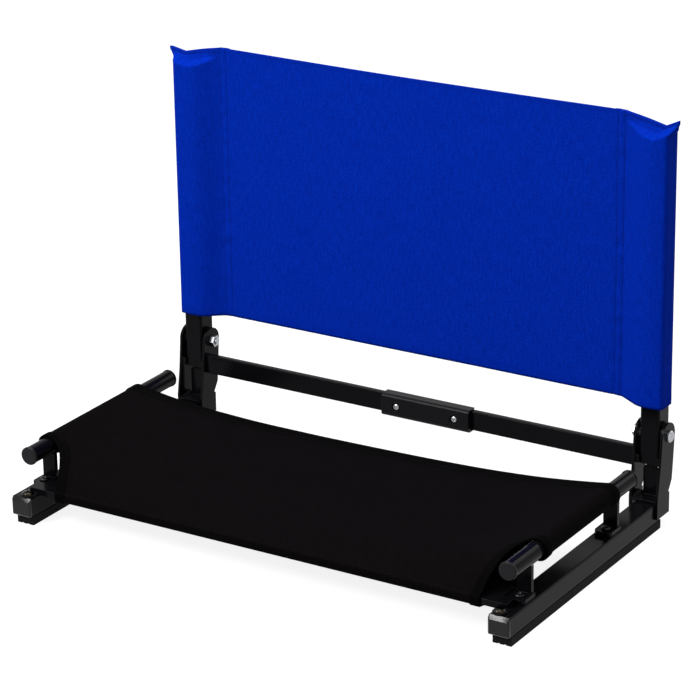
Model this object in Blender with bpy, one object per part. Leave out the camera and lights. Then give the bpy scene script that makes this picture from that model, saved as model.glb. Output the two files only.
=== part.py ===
"""Folding stadium chair: two base rails, a sling seat on two tubes and a back that folds forward.

Metres, +Z up, +X to the right as seen from the front, the sitter faces -Y.
The origin lies on the bench, in the middle of the chair's length and width.
"""

import math

import bmesh
import bpy
from mathutils import Matrix, Vector

# Clearances
GAP = 0.0003
BOLT_PLAY = 0.0003

# Base rails and their plugs
RAIL_SPREAD = 0.4896
RAIL_LENGTH = 0.279
RAIL_WIDTH = 0.0204
RAIL_HEIGHT = 0.0182
RAIL_WALL = 0.0015
RAIL_CORNER = 0.0014
PLUG_FLANGE = 0.0028
PLUG_BEVEL = 0.0018
PLUG_INSERT = 0.020

# Rubber treads under the rails
TREAD_HEIGHT = 0.0082
TREAD_WIDTH = 0.0178
TREAD_SETBACK = 0.0045
TREAD_GROOVE = 0.0010
TREAD_GROOVES = 2

# Seat tubes, their caps and the straps that carry them
SEAT_TUBE_RADIUS = 0.008
SEAT_TUBE_WALL = 0.0015
SEAT_TUBE_RISE = 0.0348
SEAT_TUBE_FRONT = 0.0152
SEAT_TUBE_LENGTH = 0.2218
CAP_RADIUS = 0.0085
CAP_FLANGE = 0.0022
CAP_INSERT = 0.014
CAP_EDGE = 0.0008
STRAP_WIDTH = 0.0137
STRAP_THICK = 0.004
STRAP_FRONT = 0.0443
STRAP_REAR_INSET = 0.037
FOOT_WIDTH = 0.0168
FOOT_LENGTH = 0.0158
FOOT_CORNER = 0.004
FOOT_SCREW_RADIUS = 0.002
FOOT_HEAD_RADIUS = 0.0042
FOOT_HEAD_HEIGHT = 0.0021
FOOT_SCREW_LENGTH = 0.010

# Front bar that the seat cover wraps round
BAR_SETBACK = 0.0134
BAR_DEPTH = 0.034
BAR_HEIGHT = 0.0058
BAR_WALL = 0.0015
BAR_TAB_DEPTH = 0.0138
BAR_TAB_INSET = 0.0002
BAR_CORNER = 0.0025
BAR_SHOULDER = 0.0018
LUG_INSET = 0.0028
LUG_SETBACK = 0.0077
LUG_RADIUS = 0.0062
LUG_THICK = 0.0015
LUG_SCREW_RADIUS = 0.0021
LUG_HEAD_RADIUS = 0.0053
LUG_HEAD_HEIGHT = 0.0028
LUG_SCREW_LENGTH = 0.012

# Pivot brackets; cheek distances run back from the pivot, negative ones forwards
PIVOT_OVERHANG = 0.0076
PIVOT_HEIGHT = 0.0860
BRACKET_INNER = 0.0241
BRACKET_PLATE = 0.0022
LOBE_RADIUS = 0.0124
CHEEK_BOTTOM = 0.0122
CHEEK_FRONT = -0.0196
CHEEK_WAIST_FRONT = -0.0151
CHEEK_WAIST_HEIGHT = 0.058
CHEEK_WAIST_REAR = 0.0099
CHEEK_NOTCH_FRONT = 0.0019
CHEEK_NOTCH_HEIGHT = 0.0325
CHEEK_REAR = 0.0040
CHEEK_SHOULDER = 0.042
TONGUE_FRONT = -0.0056
TONGUE_HEIGHT = 0.0298
TONGUE_HALF_WIDTH = 0.0072
TONGUE_CORNER = 0.0030
TONGUE_FLARE = 0.0040
STOP_HEIGHT = 0.0605
STOP_LENGTH = 0.0070
STOP_DEPTH = 0.0026
STOP_REACH = 0.0036

# Pivot bolts, nuts and washers
PIVOT_BOLT_RADIUS = 0.003
PIVOT_HEAD_RADIUS = 0.0054
PIVOT_HEAD_HEIGHT = 0.0034
NUT_FLATS = 0.010
NUT_HEIGHT = 0.0048
BOLT_STICKOUT = 0.0016
WASHER_RADIUS = 0.0066

# Back posts
POST_WIDTH = 0.0188
POST_DEPTH = 0.0200
POST_WALL = 0.0015
POST_CORNER = 0.0018
POST_BELOW_PIVOT = 0.0265
POST_ABOVE_PIVOT = 0.2725
POST_CAP_FLANGE = 0.0024
POST_CAP_INSERT = 0.016

# Rear cross bar and carry grip
CROSS_FRONT = 0.0106
CROSS_BOTTOM = 0.0558
CROSS_HEIGHT = 0.0187
CROSS_DEPTH = 0.0065
CROSS_WALL = 0.0012
GRIP_SHIFT = 0.0167
GRIP_LENGTH = 0.0925
GRIP_FRONT_WALL = 0.0052
GRIP_LIP = 0.0012
GRIP_EDGE = 0.0034
GRIP_SCREW_SPACING = 0.0615
GRIP_SCREW_RADIUS = 0.0018
GRIP_HEAD_RADIUS = 0.0032
GRIP_HEAD_HEIGHT = 0.0020
GRIP_RECESS_RADIUS = 0.0043
GRIP_RECESS_DEPTH = 0.0018
GRIP_SCREW_LENGTH = 0.007

# Covers
CLOTH = 0.0012
SEAT_COVER_FRONT = 0.056
SEAT_REAR_CLEAR = 0.007
SEAT_REAR_DIP = 0.009
SEAT_SAG = 0.0097
SEAT_FRONT_INSET = 0.0268
SEAT_FALL_LENGTH = 0.080
SEAT_CORNER_RISE = 2.6
SEAT_HEM_CURVE = 1.6
SEAT_HEM_SHARPNESS = 0.85
SEAT_ROW_CROWDING = 1.5
SEAT_FOLD = 0.0005
SEAT_POCKET_REACH = 0.022
SEAT_POCKET_ROWS = 3
SEAT_POCKET_FLARE = 0.0155
SEAT_POCKET_DROOP = 0.35
SEAT_POCKET_CORNER = 6
SEAT_SLEEVE_REACH = 0.022
SEAT_SLEEVE_EASE = 0.0005
SEAT_LAYER_GAP = 0.0019
SEAT_LEAVE_ANGLE = math.radians(18)
SEAT_OVER_BAR_STOPS = (0.0, 0.4, 0.65, 0.85, 1.0)
SEAT_PAST_BAR_STOPS = (0.1, 0.3, 0.6, 1.0)
SEAT_ROWS = 9
SEAT_TURN_STEPS = 10
BACK_COVER_BOTTOM = 0.1125
BACK_PANEL_LIFT = 0.0040
BACK_TOP_RISE = 0.0180
BACK_TOP_DIP = 0.0070
BACK_EAR_REACH = 0.0085
BACK_EAR_RISE = 0.0045
BACK_SEAM_INSET = 0.03725
BACK_PANEL_THICK = 0.0014

# Places that follow from the sizes above
PIVOT_SETBACK = RAIL_LENGTH + PIVOT_OVERHANG
FRONT_Y = -(PIVOT_SETBACK + LOBE_RADIUS) / 2
RAIL_X = RAIL_SPREAD / 2
RAIL_BOTTOM = TREAD_HEIGHT + GAP
RAIL_TOP = TREAD_HEIGHT + RAIL_HEIGHT
SEAT_TUBE_Z = RAIL_TOP + SEAT_TUBE_RISE
STRAP_REAR = SEAT_TUBE_FRONT + SEAT_TUBE_LENGTH - STRAP_REAR_INSET
SEAT_COVER_REAR = STRAP_REAR - SEAT_REAR_CLEAR
SEAT_FRONT_HALF_WIDTH = RAIL_X - SEAT_FRONT_INSET
SEAT_REACH = SEAT_TUBE_RADIUS + SEAT_SLEEVE_EASE + CLOTH / 2
SEAT_LEAVE_X = RAIL_X - SEAT_REACH * math.sin(SEAT_LEAVE_ANGLE)
SEAT_LEAVE_Z = SEAT_TUBE_Z + SEAT_REACH * math.cos(SEAT_LEAVE_ANGLE)
SEAT_START = BAR_SETBACK + BAR_WALL
SEAT_BAR_Z = RAIL_TOP + GAP + BAR_HEIGHT + GAP + CLOTH / 2
SEAT_UNDER_Z = RAIL_TOP - CLOTH / 2
PIVOT_Y = FRONT_Y + PIVOT_SETBACK
OUTER_CHEEK_X = RAIL_X + RAIL_WIDTH / 2 + GAP
POST_X = OUTER_CHEEK_X - BRACKET_INNER / 2
BACK_SEAM_HALF_SPAN = POST_X - BACK_SEAM_INSET
CROSS_Y = PIVOT_Y - CROSS_FRONT
SIDES = {"left": -1, "right": 1}


def clear_scene():
    """Removes whatever objects the file starts with."""
    for item in list(bpy.data.objects):
        bpy.data.objects.remove(item, do_unlink=True)


def paint(name, colour, roughness, metallic=0.0):
    """Makes a Principled material of one colour."""
    material = bpy.data.materials.new(name)
    material.use_nodes = True
    shader = material.node_tree.nodes["Principled BSDF"]
    shader.inputs["Base Color"].default_value = (*colour, 1.0)
    shader.inputs["Roughness"].default_value = roughness
    shader.inputs["Metallic"].default_value = metallic
    material.diffuse_color = (*colour, 1.0)
    return material


clear_scene()
BLACK_COAT = paint("black_powder_coat", (0.012, 0.012, 0.014), 0.28)
BLACK_PLASTIC = paint("black_plastic", (0.018, 0.018, 0.019), 0.42)
RUBBER = paint("tread_rubber", (0.020, 0.020, 0.021), 0.80)
ZINC = paint("bright_zinc", (0.62, 0.63, 0.64), 0.25, 1.0)
DARK_STEEL = paint("dark_steel", (0.05, 0.05, 0.055), 0.35, 1.0)
BLACK_CLOTH = paint("black_cloth", (0.006, 0.006, 0.006), 0.90)
BLUE_CLOTH = paint("blue_cloth", (0.000, 0.015, 0.320), 0.75)


def depth(from_front):
    """Turns a distance behind the rails' front faces into a Y coordinate."""
    return FRONT_Y + from_front


def link(name, mesh, material, place=(0.0, 0.0, 0.0)):
    """Puts a mesh in the scene as one named sub-part."""
    mesh.materials.append(material)
    item = bpy.data.objects.new(name, mesh)
    item.location = place
    bpy.context.scene.collection.objects.link(item)
    return item


def mesh_from(name, points, faces):
    """Builds a mesh whose faces all point outwards."""
    mesh = bpy.data.meshes.new(name)
    build = bmesh.new()
    corners = [build.verts.new(point) for point in points]
    for face in faces:
        build.faces.new([corners[index] for index in face])
    bmesh.ops.recalc_face_normals(build, faces=build.faces)
    build.to_mesh(mesh)
    build.free()
    return mesh


def arc(centre, radius, start, end, steps):
    """Lists points along an arc, angles in degrees."""
    angles = [math.radians(start + (end - start) * step / steps) for step in range(steps + 1)]
    return [(centre[0] + radius * math.cos(a), centre[1] + radius * math.sin(a)) for a in angles]


def rounded_box_outline(width, height, radius, steps=3):
    """Outline of a rectangle with round corners, centred on zero."""
    across = width / 2 - radius
    up = height / 2 - radius
    corners = [(across, up, 0), (-across, up, 90), (-across, -up, 180), (across, -up, 270)]
    outline = []
    for x, y, start in corners:
        outline.extend(arc((x, y), radius, start, start + 90, steps))
    return outline


def shown_along(axis, pair, along):
    """Puts a flat outline point and a distance along an axis into space."""
    first, second = pair
    if axis == "X":
        return (along, first, second)
    if axis == "Y":
        return (first, along, second)
    return (first, second, along)


def prism(name, outline, axis, start, end):
    """Solid mesh of a flat outline drawn out along one axis."""
    count = len(outline)
    points = [shown_along(axis, pair, start) for pair in outline]
    points += [shown_along(axis, pair, end) for pair in outline]
    faces = [list(range(count)), list(range(count, 2 * count))]
    faces += [[i, (i + 1) % count, count + (i + 1) % count, count + i] for i in range(count)]
    return mesh_from(name, points, faces)


def pipe(name, outer, inner, axis, start, end):
    """Mesh of a hollow section, open at both ends."""
    count = len(outer)
    points = []
    for along in (start, end):
        points += [shown_along(axis, pair, along) for pair in outer]
        points += [shown_along(axis, pair, along) for pair in inner]
    faces = []
    for i in range(count):
        j = (i + 1) % count
        near_out, near_in, far_out, far_in = 0, count, 2 * count, 3 * count
        faces.append([near_out + i, near_out + j, far_out + j, far_out + i])
        faces.append([near_in + i, near_in + j, far_in + j, far_in + i])
        faces.append([near_out + i, near_out + j, near_in + j, near_in + i])
        faces.append([far_out + i, far_out + j, far_in + j, far_in + i])
    return mesh_from(name, points, faces)


def turned(name, profile, steps=24):
    """Solid of revolution about Z from (radius, height) points that start and end on the axis."""
    build = bmesh.new()
    rim = [build.verts.new((radius, 0.0, height)) for radius, height in profile]
    edges = [build.edges.new((rim[i], rim[i + 1])) for i in range(len(rim) - 1)]
    bmesh.ops.spin(build, geom=rim + edges, cent=(0, 0, 0), axis=(0, 0, 1), angle=2 * math.pi, steps=steps,
                   use_duplicate=False)
    bmesh.ops.remove_doubles(build, verts=build.verts, dist=0.000001)
    bmesh.ops.recalc_face_normals(build, faces=build.faces)
    mesh = bpy.data.meshes.new(name)
    build.to_mesh(mesh)
    build.free()
    return mesh


def smooth_round(item, angle=35):
    """Shades the round faces of a piece smooth and keeps its edges sharp."""
    item.data.shade_smooth()
    item.data.set_sharp_from_angle(angle=math.radians(angle))
    return item


def cutter(mesh, place=(0.0, 0.0, 0.0)):
    """Keeps a mesh as a cutter, out of the finished part."""
    item = bpy.data.objects.new(mesh.name, mesh)
    item.location = place
    item.hide_render = True
    item.display_type = "WIRE"
    bpy.context.scene.collection.objects.link(item)
    return item


def combine(item, other, operation):
    """Adds or cuts one piece by another with an exact Boolean."""
    step = item.modifiers.new(other.name, "BOOLEAN")
    step.operation = operation
    step.solver = "EXACT"
    step.object = other


def drill(item, name, axis, place, radius, length, steps=20):
    """Cuts a round hole centred on a place, along an axis."""
    outline = arc((0, 0), radius, 0, 360 - 360 / steps, steps - 1)
    mesh = prism(name, outline, axis, -length / 2, length / 2)
    combine(item, cutter(mesh, place), "DIFFERENCE")


def screw_mesh(name, shank_radius, shank_length, head_radius, head_height, recess):
    """Round-headed screw along Z: the head sits on z = 0 and the shank points down."""
    crown = head_height * 0.45
    profile = [(0.0, -shank_length), (shank_radius * 0.6, -shank_length),
               (shank_radius, -shank_length + shank_radius * 0.6), (shank_radius, 0.0), (head_radius, 0.0),
               (head_radius, crown), (head_radius * 0.86, head_height * 0.82), (head_radius * 0.55, head_height),
               (recess, head_height), (recess * 0.6, head_height * 0.5), (0.0, head_height * 0.5)]
    return turned(name, profile)


def base_rail(side_name, side):
    """Rectangular tube that lies on its tread, open where the plugs go in."""
    outer = rounded_box_outline(RAIL_WIDTH, RAIL_HEIGHT - GAP, RAIL_CORNER)
    inner = rounded_box_outline(RAIL_WIDTH - 2 * RAIL_WALL, RAIL_HEIGHT - GAP - 2 * RAIL_WALL, RAIL_CORNER / 2)
    tube_length = RAIL_LENGTH - 2 * (PLUG_FLANGE + GAP)
    mesh = pipe("base_rail", outer, inner, "Y", -tube_length / 2, tube_length / 2)
    place = (side * RAIL_X, depth(RAIL_LENGTH / 2), (RAIL_BOTTOM + RAIL_TOP) / 2)
    rail = smooth_round(link(f"base_rail_{side_name}", mesh, BLACK_COAT, place))
    lug = lug_place(side)
    drill(rail, f"rail_lug_hole_{side_name}", "Z", (lug[0], lug[1], RAIL_TOP), LUG_SCREW_RADIUS + BOLT_PLAY,
          4 * RAIL_WALL)
    for end in (STRAP_FRONT, STRAP_REAR):
        hole = foot_screw_place(side, end)
        drill(rail, f"rail_foot_hole_{side_name}_{end}", "Z", (hole[0], hole[1], RAIL_TOP),
              FOOT_SCREW_RADIUS + BOLT_PLAY, 4 * RAIL_WALL)


def rail_plug(side_name, side, end_name, facing):
    """Square plastic plug: a bevelled flange over the rail's end and a body inside it."""
    half_w = RAIL_WIDTH / 2
    half_h = (RAIL_HEIGHT - GAP) / 2
    body = rounded_box_outline(RAIL_WIDTH - 2 * (RAIL_WALL + GAP), RAIL_HEIGHT - GAP - 2 * (RAIL_WALL + GAP),
                               RAIL_CORNER / 2)
    flange = rounded_box_outline(2 * half_w, 2 * half_h, RAIL_CORNER)
    face = rounded_box_outline(2 * (half_w - PLUG_BEVEL), 2 * (half_h - PLUG_BEVEL), RAIL_CORNER / 2)
    levels = [(body, PLUG_FLANGE + PLUG_INSERT), (body, PLUG_FLANGE), (flange, PLUG_FLANGE),
              (flange, PLUG_BEVEL), (face, 0.0)]
    mesh = stacked(f"rail_plug_{end_name}", levels, facing)
    from_front = 0.0 if facing > 0 else RAIL_LENGTH
    place = (side * RAIL_X, depth(from_front), (RAIL_BOTTOM + RAIL_TOP) / 2)
    plug = link(f"rail_plug_{end_name}_{side_name}", mesh, BLACK_PLASTIC, place)
    if facing > 0:
        lug = lug_place(side)
        drill(plug, f"plug_screw_hole_{side_name}", "Z", (lug[0], lug[1], RAIL_TOP),
              LUG_SCREW_RADIUS + BOLT_PLAY, 2 * LUG_SCREW_LENGTH)


def stacked(name, levels, facing):
    """Solid through a stack of outlines with equal counts, along Y towards facing."""
    count = len(levels[0][0])
    points = []
    for outline, along in levels:
        points += [(x, facing * along, z) for x, z in outline]
    faces = [list(range(count)), list(range((len(levels) - 1) * count, len(levels) * count))]
    for level in range(len(levels) - 1):
        low, high = level * count, (level + 1) * count
        faces += [[low + i, low + (i + 1) % count, high + (i + 1) % count, high + i] for i in range(count)]
    return mesh_from(name, points, faces)


def tread_strip(side_name, side):
    """Rubber strip under a rail, flush with the rail's right side, with grooves along its underside."""
    half = TREAD_WIDTH / 2
    pitch = TREAD_WIDTH / (TREAD_GROOVES + 1)
    outline = [(-half, 0.0)]
    for groove in range(1, TREAD_GROOVES + 1):
        middle = -half + groove * pitch
        outline += [(middle - TREAD_GROOVE, 0.0), (middle, TREAD_GROOVE), (middle + TREAD_GROOVE, 0.0)]
    outline += [(half, 0.0), (half, TREAD_HEIGHT), (-half, TREAD_HEIGHT)]
    mesh = prism("tread_strip", outline, "Y", 0.0, RAIL_LENGTH - TREAD_SETBACK)
    place = (side * RAIL_X + (RAIL_WIDTH - TREAD_WIDTH) / 2, depth(TREAD_SETBACK), 0.0)
    link(f"tread_strip_{side_name}", mesh, RUBBER, place)


def seat_tube(side_name, side):
    """Round tube that carries one side of the seat cover."""
    steps = 32
    outer = arc((0, 0), SEAT_TUBE_RADIUS, 0, 360 - 360 / steps, steps - 1)
    inner = arc((0, 0), SEAT_TUBE_RADIUS - SEAT_TUBE_WALL, 0, 360 - 360 / steps, steps - 1)
    length = SEAT_TUBE_LENGTH - 2 * (CAP_FLANGE + GAP)
    mesh = pipe("seat_tube", outer, inner, "Y", -length / 2, length / 2)
    place = (side * RAIL_X, depth(SEAT_TUBE_FRONT + SEAT_TUBE_LENGTH / 2), SEAT_TUBE_Z)
    smooth_round(link(f"seat_tube_{side_name}", mesh, BLACK_COAT, place))
    bore = SEAT_TUBE_RADIUS - SEAT_TUBE_WALL - GAP
    cap = [(0.0, -CAP_INSERT), (bore - CAP_EDGE, -CAP_INSERT), (bore, CAP_EDGE - CAP_INSERT), (bore, 0.0),
           (CAP_RADIUS, 0.0), (CAP_RADIUS, CAP_FLANGE - CAP_EDGE), (CAP_RADIUS - CAP_EDGE, CAP_FLANGE),
           (0.0, CAP_FLANGE)]
    for end_name, facing in (("front", -1), ("rear", 1)):
        item = link(f"seat_tube_cap_{end_name}_{side_name}", turned("seat_tube_cap", cap), BLACK_PLASTIC)
        item.rotation_euler = (-facing * math.pi / 2, 0.0, 0.0)
        half = SEAT_TUBE_LENGTH / 2 - CAP_FLANGE
        item.location = (side * RAIL_X, place[1] + facing * half, SEAT_TUBE_Z)
        smooth_round(item)


def foot_screw_place(side, strap_y):
    """Point on the foot's top face where its screw goes in."""
    return (side * RAIL_X, depth(strap_y - FOOT_LENGTH / 2), RAIL_TOP + GAP + STRAP_THICK)


def tube_strap(side_name, side, end_name, strap_y):
    """Bent strap: a leg up to the seat tube, hollowed to fit it, and a foot screwed to the rail."""
    bottom = RAIL_TOP + GAP
    half = FOOT_WIDTH / 2
    front = depth(strap_y - FOOT_LENGTH)
    back = depth(strap_y + STRAP_THICK)
    outline = arc((-half + FOOT_CORNER, front + FOOT_CORNER), FOOT_CORNER, 180, 270, 5)
    outline += arc((half - FOOT_CORNER, front + FOOT_CORNER), FOOT_CORNER, 270, 360, 5)
    outline += [(half, back), (-half, back)]
    foot = prism("strap_foot", outline, "Z", bottom, bottom + STRAP_THICK)
    strap = link(f"tube_strap_{end_name}_{side_name}", foot, BLACK_COAT, (side * RAIL_X, 0.0, 0.0))
    leg_half = STRAP_WIDTH / 2
    leg_outline = [(-leg_half, depth(strap_y)), (leg_half, depth(strap_y)), (leg_half, back), (-leg_half, back)]
    leg = prism(f"strap_leg_{end_name}_{side_name}", leg_outline, "Z", bottom + STRAP_THICK / 2,
                SEAT_TUBE_Z - SEAT_TUBE_RADIUS / 2)
    combine(strap, cutter(leg, strap.location), "UNION")
    drill(strap, f"strap_saddle_{end_name}_{side_name}", "Y",
          (side * RAIL_X, depth(strap_y + STRAP_THICK / 2), SEAT_TUBE_Z), SEAT_TUBE_RADIUS + GAP,
          3 * STRAP_THICK, 40)
    hole = foot_screw_place(side, strap_y)
    drill(strap, f"strap_hole_{end_name}_{side_name}", "Z", hole, FOOT_SCREW_RADIUS + BOLT_PLAY, 4 * STRAP_THICK)
    smooth_round(strap)
    screw = screw_mesh("foot_screw", FOOT_SCREW_RADIUS, FOOT_SCREW_LENGTH, FOOT_HEAD_RADIUS, FOOT_HEAD_HEIGHT,
                       FOOT_SCREW_RADIUS)
    smooth_round(link(f"foot_screw_{end_name}_{side_name}", screw, DARK_STEEL, (hole[0], hole[1], hole[2] + GAP)))


def lug_place(side):
    """Point on the rail's top where the front bar's lug is screwed down."""
    return (side * (RAIL_X - LUG_INSET), depth(LUG_SETBACK), RAIL_TOP + GAP)


def front_bar():
    """Shallow channel across both rails, open below, with end tabs and screw lugs."""
    front = depth(BAR_SETBACK)
    back = depth(BAR_SETBACK + BAR_DEPTH)
    tab_back = depth(BAR_SETBACK + BAR_TAB_DEPTH)
    tab_end = RAIL_X + BAR_TAB_INSET
    shoulder = RAIL_X - FOOT_WIDTH / 2 - BAR_SHOULDER
    half = arc((tab_end - BAR_CORNER, front + BAR_CORNER), BAR_CORNER, 270, 360, 4)
    half += arc((tab_end - BAR_CORNER, tab_back - BAR_CORNER), BAR_CORNER, 0, 90, 4)
    half += [(shoulder, tab_back), (shoulder, back)]
    outline = half + [(-x, y) for x, y in reversed(half)]
    low = RAIL_TOP + GAP
    bar = link("front_bar", prism("front_bar", outline, "Z", low, low + BAR_HEIGHT), BLACK_COAT)
    inside = [(-shoulder + BAR_WALL, front + BAR_WALL), (shoulder - BAR_WALL, front + BAR_WALL),
              (shoulder - BAR_WALL, back - BAR_WALL), (-shoulder + BAR_WALL, back - BAR_WALL)]
    hollow = prism("front_bar_hollow", inside, "Z", low - BAR_HEIGHT, low + BAR_HEIGHT - BAR_WALL)
    combine(bar, cutter(hollow), "DIFFERENCE")
    for side_name, side in SIDES.items():
        lug = lug_place(side)
        around = arc((lug[0], lug[1]), LUG_RADIUS, 180, 360, 10)
        around += [(lug[0] + LUG_RADIUS, front + BAR_WALL), (lug[0] - LUG_RADIUS, front + BAR_WALL)]
        plate = prism(f"front_bar_lug_{side_name}", around, "Z", low, low + LUG_THICK)
        combine(bar, cutter(plate), "UNION")
        drill(bar, f"front_bar_hole_{side_name}", "Z", lug, LUG_SCREW_RADIUS + BOLT_PLAY, 4 * LUG_THICK)
        screw = screw_mesh("front_bar_screw", LUG_SCREW_RADIUS, LUG_SCREW_LENGTH, LUG_HEAD_RADIUS,
                           LUG_HEAD_HEIGHT, LUG_SCREW_RADIUS)
        smooth_round(link(f"front_bar_screw_{side_name}", screw, ZINC, (lug[0], lug[1], low + LUG_THICK + GAP)))
    smooth_round(bar)


def cheek_outline():
    """Side view of a bracket cheek: a lap beside the rail, a waist and a round lobe at the pivot."""
    pivot = (PIVOT_Y, PIVOT_HEIGHT)
    outline = [(PIVOT_Y + CHEEK_FRONT, CHEEK_BOTTOM), (PIVOT_Y + CHEEK_REAR, CHEEK_BOTTOM),
               (PIVOT_Y + CHEEK_REAR, CHEEK_NOTCH_HEIGHT - BRACKET_PLATE / 2),
               (PIVOT_Y + CHEEK_NOTCH_FRONT, CHEEK_NOTCH_HEIGHT),
               (PIVOT_Y + (CHEEK_NOTCH_FRONT + CHEEK_WAIST_REAR) / 2 + BRACKET_PLATE, CHEEK_SHOULDER),
               (PIVOT_Y + CHEEK_WAIST_REAR, CHEEK_WAIST_HEIGHT)]
    outline += arc(pivot, LOBE_RADIUS, -12, 186, 16)
    outline += [(PIVOT_Y + CHEEK_WAIST_FRONT, CHEEK_WAIST_HEIGHT),
                (PIVOT_Y + CHEEK_FRONT, RAIL_TOP + 2 * BRACKET_PLATE)]
    return outline


def pivot_bracket(side_name, side):
    """Pressed bracket welded on the rail: two cheeks, a floor with an upright tongue and two stop lugs."""
    def across(offset):
        """X of a plane measured inwards from the outer cheek's inner face."""
        return side * (OUTER_CHEEK_X - offset)

    outline = cheek_outline()
    outer = prism("pivot_bracket", outline, "X", across(-BRACKET_PLATE), across(0.0))
    bracket = link(f"pivot_bracket_{side_name}", outer, BLACK_COAT)
    inner = prism(f"inner_cheek_{side_name}", outline, "X", across(BRACKET_INNER),
                  across(BRACKET_INNER + BRACKET_PLATE))
    combine(bracket, cutter(inner), "UNION")
    into = BRACKET_PLATE / 2
    low = RAIL_TOP + GAP
    rear = PIVOT_Y + CHEEK_NOTCH_FRONT
    floor_outline = [(PIVOT_Y + CHEEK_FRONT + GAP, low), (rear - GAP, low), (rear - GAP, low + BRACKET_PLATE),
                     (PIVOT_Y + CHEEK_FRONT + GAP, low + BRACKET_PLATE)]
    floor = prism(f"bracket_floor_{side_name}", floor_outline, "X", across(-into), across(BRACKET_INNER + into))
    combine(bracket, cutter(floor), "UNION")
    top = low + TONGUE_HEIGHT - TONGUE_CORNER
    foot = low + into
    half = TONGUE_HALF_WIDTH
    wide = half + TONGUE_FLARE
    middle = side * (OUTER_CHEEK_X - BRACKET_INNER / 2)
    tongue_outline = [(middle - half, foot + TONGUE_FLARE), (middle - wide, foot), (middle + wide, foot),
                      (middle + half, foot + TONGUE_FLARE)]
    tongue_outline += arc((middle + half - TONGUE_CORNER, top), TONGUE_CORNER, 0, 90, 4)
    tongue_outline += arc((middle - half + TONGUE_CORNER, top), TONGUE_CORNER, 90, 180, 4)
    front = PIVOT_Y + TONGUE_FRONT
    tongue = prism(f"bracket_tongue_{side_name}", tongue_outline, "Y", front, front + BRACKET_PLATE)
    combine(bracket, cutter(tongue), "UNION")
    stop_back = PIVOT_Y - POST_DEPTH / 2 - GAP
    stop_outline = [(stop_back - STOP_DEPTH, STOP_HEIGHT), (stop_back, STOP_HEIGHT),
                    (stop_back, STOP_HEIGHT + STOP_LENGTH), (stop_back - STOP_DEPTH, STOP_HEIGHT + STOP_LENGTH)]
    for index, (start, end) in enumerate([(-into, STOP_REACH), (BRACKET_INNER - STOP_REACH, BRACKET_INNER + into)]):
        lug = prism(f"stop_lug_{side_name}_{index}", stop_outline, "X", across(start), across(end))
        combine(bracket, cutter(lug), "UNION")
    drill(bracket, f"bracket_pivot_hole_{side_name}", "X", (middle, PIVOT_Y, PIVOT_HEIGHT),
          PIVOT_BOLT_RADIUS + BOLT_PLAY, 2 * BRACKET_INNER)
    smooth_round(bracket)


def pivot_hardware(side_name, side):
    """Bolt from the outside, a washer on each side of the post and a nut on the inside."""
    turn = (0.0, side * math.pi / 2, 0.0)
    shank = BRACKET_INNER + 2 * BRACKET_PLATE + 3 * GAP + NUT_HEIGHT + BOLT_STICKOUT
    crown = PIVOT_HEAD_HEIGHT * 0.5
    profile = [(0.0, -shank), (PIVOT_BOLT_RADIUS * 0.8, -shank), (PIVOT_BOLT_RADIUS, PIVOT_BOLT_RADIUS * 0.2 - shank),
               (PIVOT_BOLT_RADIUS, 0.0), (PIVOT_HEAD_RADIUS, 0.0), (PIVOT_HEAD_RADIUS, crown),
               (PIVOT_HEAD_RADIUS * 0.8, PIVOT_HEAD_HEIGHT * 0.86), (PIVOT_HEAD_RADIUS * 0.4, PIVOT_HEAD_HEIGHT),
               (0.0, PIVOT_HEAD_HEIGHT)]
    bolt = link(f"pivot_bolt_{side_name}", turned("pivot_bolt", profile), ZINC,
                (side * (OUTER_CHEEK_X + BRACKET_PLATE + GAP), PIVOT_Y, PIVOT_HEIGHT))
    bolt.rotation_euler = turn
    smooth_round(bolt)
    steps = 24
    bore = PIVOT_BOLT_RADIUS + BOLT_PLAY
    inner = arc((0, 0), bore, 0, 360 - 360 / steps, steps - 1)
    outer = arc((0, 0), WASHER_RADIUS, 0, 360 - 360 / steps, steps - 1)
    thick = (BRACKET_INNER - POST_WIDTH) / 2 - 2 * GAP
    for place_name, offset in (("outer", GAP), ("inner", BRACKET_INNER - GAP - thick)):
        mesh = pipe("pivot_washer", outer, inner, "X", 0.0, -side * thick)
        washer = link(f"pivot_washer_{place_name}_{side_name}", mesh, ZINC,
                      (side * (OUTER_CHEEK_X - offset), PIVOT_Y, PIVOT_HEIGHT))
        smooth_round(washer)
    corner = NUT_FLATS / 2 / math.cos(math.radians(30))
    hexagon = [edge for k in range(6) for edge in hex_side(corner, k, steps // 6)]
    mesh = pipe("pivot_nut", hexagon, inner, "X", 0.0, -side * NUT_HEIGHT)
    offset = BRACKET_INNER + BRACKET_PLATE + GAP
    link(f"pivot_nut_{side_name}", mesh, ZINC, (side * (OUTER_CHEEK_X - offset), PIVOT_Y, PIVOT_HEIGHT))


def hex_side(corner, side_index, steps):
    """Points along one side of a hexagon, evenly spaced so that they pair with a round bore."""
    first = Vector((corner, 0.0)).to_3d()
    turn = Matrix.Rotation(math.radians(60 * side_index), 3, "Z")
    following = Matrix.Rotation(math.radians(60 * (side_index + 1)), 3, "Z")
    return [((turn @ first).lerp(following @ first, k / steps)).to_2d()[:] for k in range(steps)]


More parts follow.
